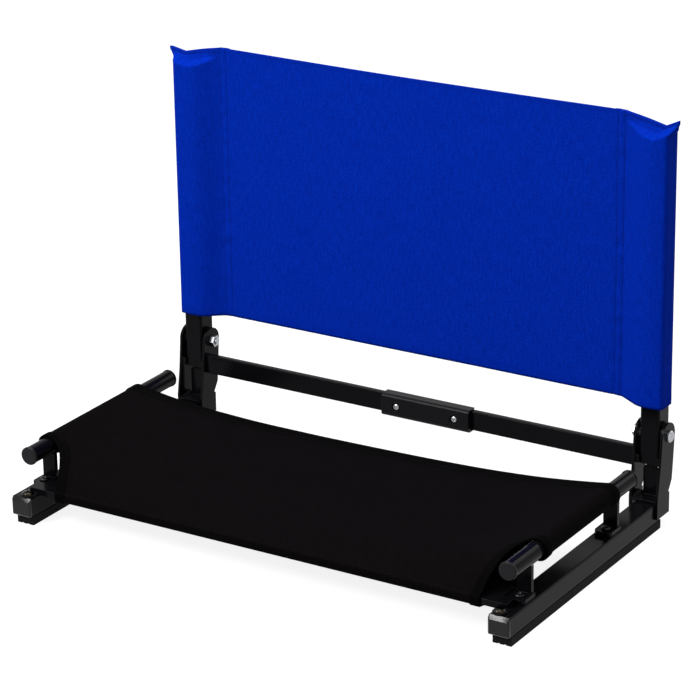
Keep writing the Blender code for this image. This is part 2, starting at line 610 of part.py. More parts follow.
def back_post(side_name, side, pivot):
    """Square tube of the back, drilled for the pivot bolt, with a plastic cap in its top."""
    outer = rounded_box_outline(POST_WIDTH, POST_DEPTH, POST_CORNER)
    inner = rounded_box_outline(POST_WIDTH - 2 * POST_WALL, POST_DEPTH - 2 * POST_WALL, POST_CORNER / 2)
    mesh = pipe("back_post", outer, inner, "Z", -POST_BELOW_PIVOT, POST_ABOVE_PIVOT)
    post = smooth_round(link(f"back_post_{side_name}", mesh, BLACK_COAT, (side * POST_X, 0.0, 0.0)))
    post.parent = pivot
    drill(post, f"post_pivot_hole_{side_name}", "X", (side * POST_X, PIVOT_Y, PIVOT_HEIGHT),
          PIVOT_BOLT_RADIUS + BOLT_PLAY, 2 * POST_WIDTH)
    body = rounded_box_outline(POST_WIDTH - 2 * (POST_WALL + GAP), POST_DEPTH - 2 * (POST_WALL + GAP),
                               POST_CORNER / 2)
    face = rounded_box_outline(POST_WIDTH - POST_CORNER, POST_DEPTH - POST_CORNER, POST_CORNER)
    levels = [(body, -POST_CAP_INSERT), (body, GAP), (outer, GAP), (outer, POST_CAP_FLANGE - POST_CORNER / 2),
              (face, POST_CAP_FLANGE)]
    cap_mesh = stacked_up("post_cap", levels)
    cap = link(f"post_cap_{side_name}", cap_mesh, BLACK_PLASTIC, (side * POST_X, 0.0, POST_ABOVE_PIVOT))
    cap.parent = pivot


def stacked_up(name, levels):
    """Solid through a stack of outlines with equal counts, along Z."""
    count = len(levels[0][0])
    points = [(x, y, height) for outline, height in levels for x, y in outline]
    faces = [list(range(count)), list(range((len(levels) - 1) * count, len(levels) * count))]
    for level in range(len(levels) - 1):
        low, high = level * count, (level + 1) * count
        faces += [[low + i, low + (i + 1) % count, high + (i + 1) % count, high + i] for i in range(count)]
    return mesh_from(name, points, faces)


def rear_cross_bar():
    """Flat tube between the inner cheeks of the two brackets, which keeps them apart."""
    half = OUTER_CHEEK_X - BRACKET_INNER - BRACKET_PLATE - GAP
    outer = rounded_box_outline(CROSS_DEPTH, CROSS_HEIGHT, CROSS_WALL, 2)
    inner = rounded_box_outline(CROSS_DEPTH - 2 * CROSS_WALL, CROSS_HEIGHT - 2 * CROSS_WALL, CROSS_WALL / 2, 2)
    mesh = pipe("rear_cross_bar", outer, inner, "X", -half, half)
    place = (0.0, CROSS_Y + CROSS_DEPTH / 2, CROSS_BOTTOM + CROSS_HEIGHT / 2)
    bar = link("rear_cross_bar", mesh, BLACK_COAT, place)
    for shift in (-0.5, 0.5):
        hole = (GRIP_SHIFT + shift * GRIP_SCREW_SPACING, CROSS_Y, place[2])
        drill(bar, f"cross_bar_hole_{shift}", "Y", hole, GRIP_SCREW_RADIUS + BOLT_PLAY, 4 * CROSS_WALL)
    smooth_round(bar)


def carry_grip():
    """Moulded channel pushed over the rear bar from the front and held by two screws."""
    front = CROSS_Y - GAP - GRIP_FRONT_WALL
    back = CROSS_Y + CROSS_DEPTH
    low = CROSS_BOTTOM - GAP - GRIP_LIP
    high = CROSS_BOTTOM + CROSS_HEIGHT + GAP + GRIP_LIP
    outline = [(back, low)]
    outline += arc((front + GRIP_EDGE, low + GRIP_EDGE), GRIP_EDGE, 270, 180, 4)
    outline += arc((front + GRIP_EDGE, high - GRIP_EDGE), GRIP_EDGE, 180, 90, 4)
    outline += [(back, high), (back, high - GRIP_LIP), (front + GRIP_FRONT_WALL, high - GRIP_LIP),
                (front + GRIP_FRONT_WALL, low + GRIP_LIP), (back, low + GRIP_LIP)]
    mesh = prism("carry_grip", outline, "X", GRIP_SHIFT - GRIP_LENGTH / 2, GRIP_SHIFT + GRIP_LENGTH / 2)
    grip = link("carry_grip", mesh, BLACK_PLASTIC)
    middle = (low + high) / 2
    for name, shift in (("left", -0.5), ("right", 0.5)):
        x = GRIP_SHIFT + shift * GRIP_SCREW_SPACING
        drill(grip, f"grip_recess_{name}", "Y", (x, front, middle), GRIP_RECESS_RADIUS, 2 * GRIP_RECESS_DEPTH)
        drill(grip, f"grip_hole_{name}", "Y", (x, front, middle), GRIP_SCREW_RADIUS + BOLT_PLAY,
              4 * GRIP_FRONT_WALL)
        screw = screw_mesh("grip_screw", GRIP_SCREW_RADIUS, GRIP_SCREW_LENGTH, GRIP_HEAD_RADIUS,
                           GRIP_HEAD_HEIGHT, GRIP_SCREW_RADIUS * 0.7)
        item = link(f"grip_screw_{name}", screw, ZINC, (x, front + GRIP_RECESS_DEPTH - GAP, middle))
        item.rotation_euler = (math.pi / 2, 0.0, 0.0)
        smooth_round(item)
    smooth_round(grip)


def seat_height(x, from_front):
    """Height of the stretched seat cloth, which rises from the bar to the tubes and to the rear hem."""
    past = max(0.0, from_front - SEAT_START)
    side_share = 1 - (1 - min(1.0, past / (SEAT_COVER_FRONT - SEAT_START))) ** SEAT_CORNER_RISE
    side_z = SEAT_BAR_Z + (SEAT_LEAVE_Z - SEAT_BAR_Z) * side_share
    middle_share = past / (SEAT_COVER_REAR - SEAT_REAR_DIP - SEAT_START)
    middle_z = SEAT_BAR_Z + (SEAT_LEAVE_Z - SEAT_SAG - SEAT_BAR_Z) * middle_share
    share = math.cosh(x / SEAT_FALL_LENGTH) / math.cosh(SEAT_LEAVE_X / SEAT_FALL_LENGTH)
    return middle_z + (side_z - middle_z) * share


def seat_column(x):
    """Points of the seat's top at a distance from the middle, from the rear hem to the front."""
    rear = SEAT_COVER_REAR - SEAT_REAR_DIP * (1 - (x / SEAT_LEAVE_X) ** 4)
    swing = max(0.0, x - SEAT_FRONT_HALF_WIDTH) / (SEAT_LEAVE_X - SEAT_FRONT_HALF_WIDTH)
    hollow = (1 - (1 - swing) ** SEAT_HEM_CURVE) ** SEAT_HEM_SHARPNESS
    front = SEAT_START + (SEAT_COVER_FRONT - SEAT_START) * hollow
    column = []
    for row in range(SEAT_ROWS + 1):
        from_front = front + (rear - front) * (1 - row / SEAT_ROWS) ** SEAT_ROW_CROWDING
        column.append((x, depth(from_front), seat_height(x, from_front)))
    return column


def seat_bar_pocket(x):
    """Points that carry a column on over the front of the bar, under it and up behind it."""
    front = BAR_SETBACK - GAP - CLOTH / 2
    back = BAR_SETBACK + BAR_DEPTH + CLOTH
    path = [(front + SEAT_FOLD, SEAT_BAR_Z), (front, SEAT_BAR_Z - SEAT_FOLD), (front, SEAT_UNDER_Z + SEAT_FOLD),
            (front + SEAT_FOLD, SEAT_UNDER_Z)]
    points = [(x, depth(y), z) for y, z in path]
    corner = (x / SEAT_FRONT_HALF_WIDTH) ** SEAT_POCKET_CORNER
    wide = x + SEAT_POCKET_FLARE * corner
    for row in range(SEAT_POCKET_ROWS + 1):
        share = row / SEAT_POCKET_ROWS
        y = back + SEAT_POCKET_REACH * share
        rise = seat_height(wide, y) - SEAT_LAYER_GAP - SEAT_UNDER_Z
        points.append((wide, depth(y), SEAT_UNDER_Z + rise * share * (1 - SEAT_POCKET_DROOP * corner)))
    return points


def seat_sleeve(top):
    """Columns that follow the cloth from the top round a tube and in under the seat."""
    end_x = RAIL_X - SEAT_SLEEVE_REACH
    columns = [[] for _ in range(SEAT_TURN_STEPS + 1)]
    for _, y, _ in top:
        end_z = seat_height(end_x, y - FRONT_Y) - SEAT_LAYER_GAP
        toward = math.atan2(end_z - SEAT_TUBE_Z, -SEAT_SLEEVE_REACH) % (2 * math.pi)
        last = toward + math.acos(SEAT_REACH / math.hypot(SEAT_SLEEVE_REACH, end_z - SEAT_TUBE_Z))
        first = math.pi / 2 + SEAT_LEAVE_ANGLE + 2 * math.pi
        for step in range(SEAT_TURN_STEPS):
            angle = first + (last - first) * (step + 1) / SEAT_TURN_STEPS
            x = RAIL_X + SEAT_REACH * math.cos(angle)
            columns[step].append((x, y, SEAT_TUBE_Z + SEAT_REACH * math.sin(angle)))
        columns[-1].append((end_x, y, end_z))
    return columns


def seat_cover():
    """Stretched seat cloth, sleeved round both tubes and pocketed round the front bar."""
    over_bar = [SEAT_FRONT_HALF_WIDTH * share for share in SEAT_OVER_BAR_STOPS]
    past_bar = [SEAT_FRONT_HALF_WIDTH + (SEAT_LEAVE_X - SEAT_FRONT_HALF_WIDTH) * share
                for share in SEAT_PAST_BAR_STOPS]
    half = [seat_column(x) + seat_bar_pocket(x) for x in over_bar]
    half += [seat_column(x) for x in past_bar]
    half += seat_sleeve(half[-1])
    other_half = [[(-x, y, z) for x, y, z in column] for column in reversed(half[1:])]
    build = bmesh.new()
    grid = [[build.verts.new(point) for point in column] for column in other_half + half]
    for first, second in zip(grid, grid[1:]):
        for row in range(min(len(first), len(second)) - 1):
            build.faces.new([first[row], second[row], second[row + 1], first[row + 1]])
    bmesh.ops.recalc_face_normals(build, faces=build.faces)
    mesh = bpy.data.meshes.new("seat_cover")
    build.to_mesh(mesh)
    build.free()
    cover = link("seat_cover", mesh, BLACK_CLOTH)
    thickness = cover.modifiers.new("cloth", "SOLIDIFY")
    thickness.thickness = CLOTH
    thickness.offset = 0.0
    thickness.use_even_offset = True
    cover.data.shade_smooth()


def back_ring(level, flat, spread):
    """One level of the back cover's outside, from round the posts to a flat hem.

    level is the height above the pivot, flat runs from 0 round the posts to 1 in one plane and
    spread pushes the corners outwards.
    """
    outer = POST_X + POST_WIDTH / 2 + GAP + CLOTH + spread
    inner = POST_X - POST_WIDTH / 2 - GAP - CLOTH / 2
    bulge = (POST_DEPTH / 2 + GAP + CLOTH) * (1 - flat) + BACK_PANEL_THICK / 2 * flat
    thin = BACK_PANEL_THICK / 2
    span = BACK_SEAM_HALF_SPAN
    front = [(-outer, -bulge), (-inner, -bulge), (-span, -thin)]
    front += [(span * share, -thin) for share in (-0.6, -0.2, 0.2, 0.6)]
    front += [(span, -thin), (inner, -bulge), (outer, -bulge)]
    ring = front + [(x, -y) for x, y in reversed(front)]
    return [(x, y, height_on_back(x, level, outer)) for x, y in ring]


def height_on_back(x, level, outer):
    """Bends the top and bottom hems: the panel's lower edge is lifted, the top dips beside each ear."""
    top = POST_ABOVE_PIVOT + POST_CAP_FLANGE + BACK_TOP_RISE
    bottom = BACK_COVER_BOTTOM - PIVOT_HEIGHT
    if level <= bottom:
        return level + (BACK_PANEL_LIFT if abs(x) <= BACK_SEAM_HALF_SPAN else 0.0)
    if level < top:
        return level
    if abs(x) <= BACK_SEAM_HALF_SPAN:
        return level
    return level - BACK_TOP_DIP if abs(x) < outer - GAP else level - BACK_TOP_DIP + BACK_EAR_RISE


def back_cover(pivot):
    """Sling of the back: a bag slipped over both posts, open below and sewn flat above them."""
    bottom = BACK_COVER_BOTTOM - PIVOT_HEIGHT
    cap_top = POST_ABOVE_PIVOT + POST_CAP_FLANGE
    top = cap_top + BACK_TOP_RISE
    levels = [(bottom, 0.0, 0.0), (cap_top * 0.35, 0.0, 0.0), (cap_top * 0.7, 0.0, 0.0),
              (cap_top - CLOTH, 0.0, 0.0), (cap_top + CLOTH, 0.12, BACK_EAR_REACH * 0.15),
              (cap_top + BACK_TOP_RISE * 0.35, 0.55, BACK_EAR_REACH * 0.45),
              (cap_top + BACK_TOP_RISE * 0.6, 0.9, BACK_EAR_REACH * 0.75), (top, 1.0, BACK_EAR_REACH)]
    rings = [back_ring(*level) for level in levels]
    count = len(rings[0])
    points = [point for ring in rings for point in ring]
    faces = []
    for level in range(len(rings) - 1):
        low, high = level * count, (level + 1) * count
        faces += [[low + i, low + (i + 1) % count, high + (i + 1) % count, high + i] for i in range(count)]
    last = (len(rings) - 1) * count
    for start in (0, last):
        faces += [[start + i, start + i + 1, start + count - 2 - i, start + count - 1 - i]
                  for i in range(count // 2 - 1)]
    cover = link("back_cover", mesh_from("back_cover", points, faces), BLUE_CLOTH)
    cover.parent = pivot
    for side_name, side in SIDES.items():
        half = POST_WIDTH / 2 + GAP
        deep = POST_DEPTH / 2 + GAP
        apex = BACK_SEAM_HALF_SPAN + 4 * BACK_PANEL_THICK
        pocket = [(side * apex, GAP), (side * apex, -GAP), (side * (POST_X - half), -deep),
                  (side * (POST_X + half), -deep), (side * (POST_X + half), deep), (side * (POST_X - half), deep)]
        mesh = prism(f"post_pocket_{side_name}", pocket, "Z", bottom - 0.01, cap_top + GAP)
        combine(cover, cutter(mesh, (0.0, PIVOT_Y, PIVOT_HEIGHT)), "DIFFERENCE")
    smooth_round(cover, 50)


def main():
    """Builds every sub-part of the chair."""
    pivot = bpy.data.objects.new("back_pivot", None)
    pivot.location = (0.0, PIVOT_Y, PIVOT_HEIGHT)
    bpy.context.scene.collection.objects.link(pivot)
    for side_name, side in SIDES.items():
        base_rail(side_name, side)
        rail_plug(side_name, side, "front", 1)
        rail_plug(side_name, side, "rear", -1)
        tread_strip(side_name, side)
        seat_tube(side_name, side)
        tube_strap(side_name, side, "front", STRAP_FRONT)
        tube_strap(side_name, side, "rear", STRAP_REAR)
        pivot_bracket(side_name, side)
        pivot_hardware(side_name, side)
        back_post(side_name, side, pivot)
    front_bar()
    rear_cross_bar()
    carry_grip()
    seat_cover()
    back_cover(pivot)


main()
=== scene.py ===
"""Looks of a folding stadium chair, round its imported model: finishes, covers, screws, plugs and studio.

Metres, +Z up, the sitter faces -Y. Left is -X and right is +X, as seen from the front.
"""

import logging
import math
from dataclasses import dataclass
from enum import Enum
from typing import Sequence

import bmesh
import bpy
from mathutils import Matrix, Vector, noise


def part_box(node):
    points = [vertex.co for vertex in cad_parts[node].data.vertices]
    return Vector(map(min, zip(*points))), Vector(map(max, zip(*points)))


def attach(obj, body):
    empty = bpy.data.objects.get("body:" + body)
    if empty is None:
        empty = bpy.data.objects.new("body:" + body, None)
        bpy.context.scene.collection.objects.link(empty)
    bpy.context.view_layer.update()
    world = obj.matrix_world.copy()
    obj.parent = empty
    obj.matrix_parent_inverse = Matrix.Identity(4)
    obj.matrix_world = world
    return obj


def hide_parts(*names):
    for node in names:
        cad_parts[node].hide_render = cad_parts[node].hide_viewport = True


Point = tuple[float, float, float]
Colour = tuple[float, float, float]
Socket = bpy.types.NodeSocket

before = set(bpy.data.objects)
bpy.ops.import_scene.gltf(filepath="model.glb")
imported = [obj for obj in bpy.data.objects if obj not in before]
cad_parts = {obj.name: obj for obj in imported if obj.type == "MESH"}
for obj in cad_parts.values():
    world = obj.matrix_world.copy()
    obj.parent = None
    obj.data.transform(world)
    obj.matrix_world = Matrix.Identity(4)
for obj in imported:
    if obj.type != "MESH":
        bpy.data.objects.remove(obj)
log = logging.getLogger("stadium_chair")


class Side(Enum):
    """The two sides of the chair."""

    LEFT = -1
    RIGHT = 1


class Body(Enum):
    """The two bodies that the hinge joins."""

    BASE = "base"
    BACKREST = "backrest"


def smooth(share: float) -> float:
    """Eases a share from 0 to 1 with level ends."""
    held = min(1.0, max(0.0, share))
    return held * held * (3 - 2 * held)


def blended(first: float, second: float, share: float) -> float:
    """Mixes two values by a share."""
    return first + (second - first) * share


def even_shares(count: int, first: int = 1) -> list[float]:
    """Even shares up to 1, from the first one on."""
    return [step / count for step in range(first, count + 1)]


def length_of(path: Sequence[Point]) -> float:
    """Length of a path through points."""
    return sum((Vector(first) - Vector(second)).length for first, second in zip(path, path[1:]))


def opaque(colour: Colour, gain: float = 1.0) -> tuple[float, float, float, float]:
    """Brightens a colour by a gain and adds full opacity."""
    return (*(gain * channel for channel in colour), 1.0)


class Nodes:
    """Adds nodes to one node tree."""

    def __init__(self, tree: bpy.types.NodeTree) -> None:
        """Keeps the tree."""
        self.tree = tree

    def feed(self, node: bpy.types.Node, values: dict) -> None:
        """Sets or links a node's inputs.

        Args:
            node: The node.
            values: Input names or places, each with a plain value or an output socket.
        """
        for place, value in values.items():
            if isinstance(value, Socket):
                self.tree.links.new(value, node.inputs[place])
            else:
                node.inputs[place].default_value = value

    def add(self, kind: str, values: dict | None = None, **settings: object) -> bpy.types.Node:
        """Adds one node.

        Args:
            kind: Blender's type name of the node.
            values: Input names or places, each with a plain value or an output socket.
            settings: Properties of the node.

        Returns:
            The node.
        """
        node = self.tree.nodes.new(kind)
        for name, value in settings.items():
            setattr(node, name, value)
        self.feed(node, values or {})
        return node

    def math(self, operation: str, first: object, second: object = 0.0) -> Socket:
        """Adds a Math node and gives its result."""
        return self.add("ShaderNodeMath", {0: first, 1: second}, operation=operation).outputs[0]

    def vector_math(self, operation: str, *inputs: object) -> bpy.types.Node:
        """Adds a Vector Math node and gives it."""
        return self.add("ShaderNodeVectorMath", dict(enumerate(inputs)), operation=operation)

    def vector(self, x: object = 0.0, y: object = 0.0, z: object = 0.0) -> Socket:
        """Joins three values into a vector and gives it."""
        return self.add("ShaderNodeCombineXYZ", {0: x, 1: y, 2: z}).outputs[0]


class Shader(Nodes):
    """Builds the nodes of one material round its Principled shader."""

    def __init__(self, name: str) -> None:
        """Makes the material and finds its shader.

        Args:
            name: Name of the material.
        """
        self.material = bpy.data.materials.new(name)
        self.material.use_nodes = True
        super().__init__(self.material.node_tree)
        self.principled = self.tree.nodes["Principled BSDF"]

    def mix(self, share: object, first: object, second: object) -> Socket:
        """Mixes two colours by a share and gives the result."""
        values = {0: share, 6: first, 7: second}
        return self.add("ShaderNodeMix", values, data_type="RGBA").outputs[2]

    def spread(self, value: object, low: float, high: float, start: float = 0.0, end: float = 1.0) -> Socket:
        """Maps the values from start to end onto a range and gives the result."""
        return self.add("ShaderNodeMapRange", {0: value, 1: start, 2: end, 3: low, 4: high}).outputs[0]

    def noise(self, scale: float, detail: float, vector: object) -> bpy.types.Node:
        """Adds a noise on a vector."""
        return self.add("ShaderNodeTexNoise", {"Vector": vector, "Scale": scale, "Detail": detail})

    def grain(self, scale: float, detail: float = 3.0, vector: object = None) -> Socket:
        """Adds a noise on Object coordinates, or on a given vector, and gives its value."""
        where = vector or self.add("ShaderNodeTexCoord").outputs["Object"]
        return self.noise(scale, detail, where).outputs["Fac"]

    def soft_edge(self, radius: float) -> Socket:
        """Gives a normal that rounds the edges."""
        return self.add("ShaderNodeBevel", {"Radius": radius}, samples=6).outputs[0]

    def bump(self, strength: float, distance: float, height: Socket, normal: Socket | None = None) -> Socket:
        """Adds a bump and gives its normal.

        Args:
            strength: Strength of the bump.
            distance: Height of the relief.
            height: The relief, from 0 to 1.
            normal: Normal that the bump starts from, or None for the mesh's own.

        Returns:
            The bumped normal.
        """
        values = {"Strength": strength, "Distance": distance, "Height": height}
        if normal:
            values["Normal"] = normal
        return self.add("ShaderNodeBump", values).outputs[0]

    def surface(self, values: dict) -> bpy.types.Material:
        """Sets or links the shader's inputs and gives the finished material."""
        self.feed(self.principled, values)
        return self.material


@dataclass(frozen=True)
class PowderCoat:
    """Gloss black powder coat with a fine orange peel and slightly rubbed edges."""

    name: str = "gloss_black_powder_coat"
    colour: Colour = (0.0022, 0.0020, 0.0027)
    rubbed: Colour = (0.030, 0.030, 0.033)
    roughness: tuple[float, float] = (0.12, 0.24)
    gloss: float = 0.045
    edge_radius: float = 0.0006
    worn_edge: tuple[float, float] = (0.995, 0.80)
    peel_scale: float = 420.0
    relief: tuple[float, float] = (0.10, 0.0002)

    def material(self) -> bpy.types.Material:
        """Builds the coat's nodes.

        Returns:
            The material.
        """
        shader = Shader(self.name)
        soft_edge = shader.soft_edge(self.edge_radius)
        true_normal = shader.add("ShaderNodeNewGeometry").outputs["Normal"]
        turned = shader.vector_math("DOT_PRODUCT", soft_edge, true_normal).outputs["Value"]
        edge = shader.spread(turned, 0.0, 1.0, *self.worn_edge)
        scuffed = shader.math("MULTIPLY", edge, shader.spread(shader.grain(160.0, 5.0), 0.15, 0.9))
        cloudy = shader.mix(shader.grain(24.0), opaque(self.colour), opaque(self.colour, 1.5))
        return shader.surface({
            "Base Color": shader.mix(scuffed, cloudy, opaque(self.rubbed)),
            "Roughness": shader.spread(shader.grain(70.0, 4.0), *self.roughness),
            "Specular IOR Level": self.gloss,
            "Normal": shader.bump(*self.relief, shader.grain(self.peel_scale, 2.0), soft_edge)})


@dataclass(frozen=True)
class MouldedPlastic:
    """Satin black moulded plastic with a fine spark-eroded grain."""

    name: str = "moulded_black_plastic"
    colour: Colour = (0.0078, 0.0075, 0.0092)
    roughness: tuple[float, float] = (0.26, 0.40)
    gloss: float = 0.11
    edge_radius: float = 0.0011
    grain_scale: float = 1500.0
    relief: tuple[float, float] = (0.22, 0.0001)

    def material(self) -> bpy.types.Material:
        """Builds the plastic's nodes.

        Returns:
            The material.
        """
        shader = Shader(self.name)
        spark_grain = shader.grain(self.grain_scale, 2.0)
        return shader.surface({
            "Base Color": shader.mix(shader.grain(45.0, 4.0), opaque(self.colour, 0.7), opaque(self.colour)),
            "Roughness": shader.spread(shader.grain(110.0, 4.0), *self.roughness),
            "Specular IOR Level": self.gloss,
            "Normal": shader.bump(*self.relief, spark_grain, shader.soft_edge(self.edge_radius))})


@dataclass(frozen=True)
class TreadRubber:
    """Dull black rubber with a dusty, uneven surface."""

    name: str = "tread_rubber"
    colour: Colour = (0.0050, 0.0050, 0.0054)
    dusty: Colour = (0.0100, 0.0100, 0.0100)
    roughness: tuple[float, float] = (0.65, 0.85)
    gloss: float = 0.06
    relief: tuple[float, float] = (0.35, 0.0002)

    def material(self) -> bpy.types.Material:
        """Builds the rubber's nodes.

        Returns:
            The material.
        """
        shader = Shader(self.name)
        return shader.surface({
            "Base Color": shader.mix(shader.grain(60.0, 5.0), opaque(self.colour), opaque(self.dusty)),
            "Roughness": shader.spread(shader.grain(200.0, 3.0), *self.roughness),
            "Specular IOR Level": self.gloss,
            "Normal": shader.bump(*self.relief, shader.grain(800.0, 4.0))})


@dataclass(frozen=True)
class PlatedSteel:
    """Plated steel of fasteners, with a fine cloudy finish."""

    name: str = "bright_zinc"
    colour: Colour = (0.46, 0.48, 0.51)
    tarnished: Colour = (0.22, 0.22, 0.23)
    roughness: tuple[float, float] = (0.18, 0.36)
    relief: tuple[float, float] = (0.12, 0.0001)

    def material(self) -> bpy.types.Material:
        """Builds the metal's nodes.

        Returns:
            The material.
        """
        shader = Shader(self.name)
        return shader.surface({
            "Base Color": shader.mix(shader.grain(520.0, 4.0), opaque(self.tarnished), opaque(self.colour)),
            "Metallic": 1.0,
            "Roughness": shader.spread(shader.grain(360.0, 4.0), *self.roughness),
            "Normal": shader.bump(*self.relief, shader.grain(1900.0, 3.0))})


@dataclass(frozen=True)
class WovenCloth:
    """Plain-woven cloth whose threads follow the piece's own UV map, in metres, with painted shade in the
    dips between threads and along the hems.
    """

    name: str
    thread: Colour
    shade: Colour
    pitch: float
    relief: float
    roughness: tuple[float, float]
    gloss: float
    painted_hem_shade: float

    def material(self) -> bpy.types.Material:
        """Builds the weave's nodes.

        Returns:
            The material.
        """
        shader = Shader(self.name)
        place = shader.add("ShaderNodeUVMap", uv_map="cloth").outputs[0]
        wander = shader.noise(160.0, 2.0, place).outputs["Color"]
        shifted = shader.vector_math("MULTIPLY_ADD", wander, (0.0008, 0.0008, 0.0), place).outputs[0]
        across = shader.add("ShaderNodeSeparateXYZ", {0: shifted}).outputs
        wave = [shader.math("ABSOLUTE", shader.math("SINE", shader.math(
            "MULTIPLY", across[axis], math.pi / self.pitch))) for axis in (0, 1)]
        over = shader.add("ShaderNodeTexChecker", {"Vector": shifted, "Scale": 1 / self.pitch}).outputs["Fac"]
        ridge = shader.add("ShaderNodeMix", {0: over, 2: wave[0], 3: wave[1]}).outputs[0]
        slub = shader.grain(620.0, 4.0, place)
        patch = shader.spread(shader.grain(34.0, 3.0, place), 0.85, 1.15)
        drawn_out = shader.vector_math("MULTIPLY", place, (1.0, 0.2, 1.0)).outputs[0]
        streak = shader.spread(shader.grain(480.0, 2.0, drawn_out), 0.74, 1.24, 0.32, 0.68)
        fleck = shader.spread(slub, 0.40, 1.15, 0.33, 0.67)
        mottled = shader.math("MULTIPLY", fleck, streak)
        # Partly painted shade: the dips between the threads are darkened along the ridge; the rest is the
        # cloth's own random mottling.
        tone = shader.math("MULTIPLY", shader.spread(ridge, 0.55, 1.0), mottled)
        body = shader.mix(shader.math("MULTIPLY", tone, patch), opaque(self.shade), opaque(self.thread))
        height = shader.math("ADD", shader.math("MULTIPLY", ridge, 0.6), shader.math("MULTIPLY", slub, 0.7))
        # Painted shade: the hem attribute darkens the hems towards the cloth's darker tone.
        hem = shader.add("ShaderNodeAttribute", attribute_name="hem").outputs["Fac"]
        painted_hem_shading = shader.math("MULTIPLY", hem, self.painted_hem_shade)
        return shader.surface({
            "Base Color": shader.mix(painted_hem_shading, body, opaque(self.shade)),
            "Roughness": shader.spread(slub, *self.roughness),
            "Specular IOR Level": self.gloss,
            "Normal": shader.bump(0.55, self.relief, height)})


@dataclass(frozen=True)
class SewingThread:
    """Twisted thread of the stitches."""

    name: str
    colour: Colour
    roughness: tuple[float, float] = (0.5, 0.7)
    gloss: float = 0.05
    relief: tuple[float, float] = (0.4, 0.0001)

    def material(self) -> bpy.types.Material:
        """Builds the thread's nodes.

        Returns:
            The material.
        """
        shader = Shader(self.name)
        return shader.surface({
            "Base Color": shader.mix(shader.grain(900.0), opaque(self.colour), opaque(self.colour, 1.6)),
            "Roughness": shader.spread(shader.grain(500.0), *self.roughness),
            "Specular IOR Level": self.gloss,
            "Normal": shader.bump(*self.relief, shader.grain(4200.0, 2.0))})


@dataclass(frozen=True)
class Finishes:
    """Every finish of the chair, as materials."""

    coat: bpy.types.Material
    plastic: bpy.types.Material
    grip: bpy.types.Material
    polished: bpy.types.Material
    rubber: bpy.types.Material
    zinc: bpy.types.Material
    oxide: bpy.types.Material
    golden: bpy.types.Material
    seat_cloth: bpy.types.Material
    back_cloth: bpy.types.Material
    black_thread: bpy.types.Material
    blue_thread: bpy.types.Material


def make_finishes() -> Finishes:
    """Builds every finish once.

    Returns:
        The finishes as materials.
    """
    polished = MouldedPlastic("polished_black_plastic", (0.0016, 0.0017, 0.0021), (0.11, 0.17), 0.24, 0.0004)
    oxide = PlatedSteel("black_oxide", (0.030, 0.030, 0.033), (0.018, 0.018, 0.018), (0.30, 0.5))
    golden = PlatedSteel("dark_golden_zinc", (0.032, 0.029, 0.023), (0.014, 0.012, 0.010), (0.12, 0.26))
    # The last value of each cloth sets how strongly painted shade darkens its hems.
    seat_cloth = WovenCloth("stretched_black_cloth", thread=(0.0036, 0.0030, 0.0033),
                            shade=(0.0014, 0.0012, 0.0013), pitch=0.0007, relief=0.00010,
                            roughness=(0.78, 0.92), gloss=0.008, painted_hem_shade=0.8)
    back_cloth = WovenCloth("royal_blue_cloth", thread=(0.0003, 0.0235, 0.400),
                            shade=(0.0002, 0.0090, 0.195), pitch=0.0010, relief=0.00022,
                            roughness=(0.70, 0.88), gloss=0.015, painted_hem_shade=0.15)
    return Finishes(
        coat=PowderCoat().material(),
        plastic=MouldedPlastic().material(),
        grip=MouldedPlastic("grip_plastic", (0.0034, 0.0032, 0.0046), gloss=0.08).material(),
        polished=polished.material(),
        rubber=TreadRubber().material(),
        zinc=PlatedSteel().material(),
        oxide=oxide.material(),
        golden=golden.material(),
        seat_cloth=seat_cloth.material(),
        back_cloth=back_cloth.material(),
        black_thread=SewingThread("black_thread", (0.0030, 0.0030, 0.0034)).material(),
        blue_thread=SewingThread("dark_blue_thread", (0.0003, 0.0070, 0.130)).material())


def dress(material: bpy.types.Material, *names: str) -> None:
    """Gives CAD nodes a finish through their material slots.

    Args:
        material: The finish.
        names: Names of the nodes.
    """
    for name in names:
        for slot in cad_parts[name].material_slots:
            slot.material = material
        log.info("dressed %s with %s", name, material.name)


def both(*stems: str) -> tuple[str, ...]:
    """Names the left and the right node of each pair."""
    return tuple(f"{stem}_{side}" for stem in stems for side in ("left", "right"))


def shown(name: str, data: bpy.types.ID) -> bpy.types.Object:
    """Puts a mesh, a lamp or a camera into the scene.

    Args:
        name: Name of the object.
        data: The mesh, the lamp or the camera.

    Returns:
        The object.
    """
    item = bpy.data.objects.new(name, data)
    bpy.context.scene.collection.objects.link(item)
    return item


def settled(item: bpy.types.Object, name: str) -> bpy.types.Object:
    """Turns an object with live modifiers into a plain closed piece whose faces point outwards.

    Args:
        item: The object, which is removed.
        name: Name of the finished piece.

    Returns:
        The finished piece.
    """
    evaluated = item.evaluated_get(bpy.context.evaluated_depsgraph_get())
    mesh = bpy.data.meshes.new_from_object(evaluated)
    mesh.name = name
    bpy.data.objects.remove(item)
    build = bmesh.new()
    build.from_mesh(mesh)
    faced(build, mesh)
    mesh.shade_smooth()
    return shown(name, mesh)


def faced(build: bmesh.types.BMesh, mesh: bpy.types.Mesh) -> None:
    """Turns the faces outwards, writes them into a mesh and frees the working copy.

    Args:
        build: The working copy.
        mesh: The mesh that takes the faces.
    """
    bmesh.ops.recalc_face_normals(build, faces=build.faces)
    build.to_mesh(mesh)
    build.free()


def placed(piece: bpy.types.Object, body: Body) -> bpy.types.Object:
    """Lets a piece ride on a body and reports it.

    Args:
        piece: The finished piece.
        body: The body it moves with.

    Returns:
        The same piece.
    """
    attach(piece, body.value)
    log.info("made %s: %d faces on %s", piece.name, len(piece.data.polygons), body.value)
    return piece


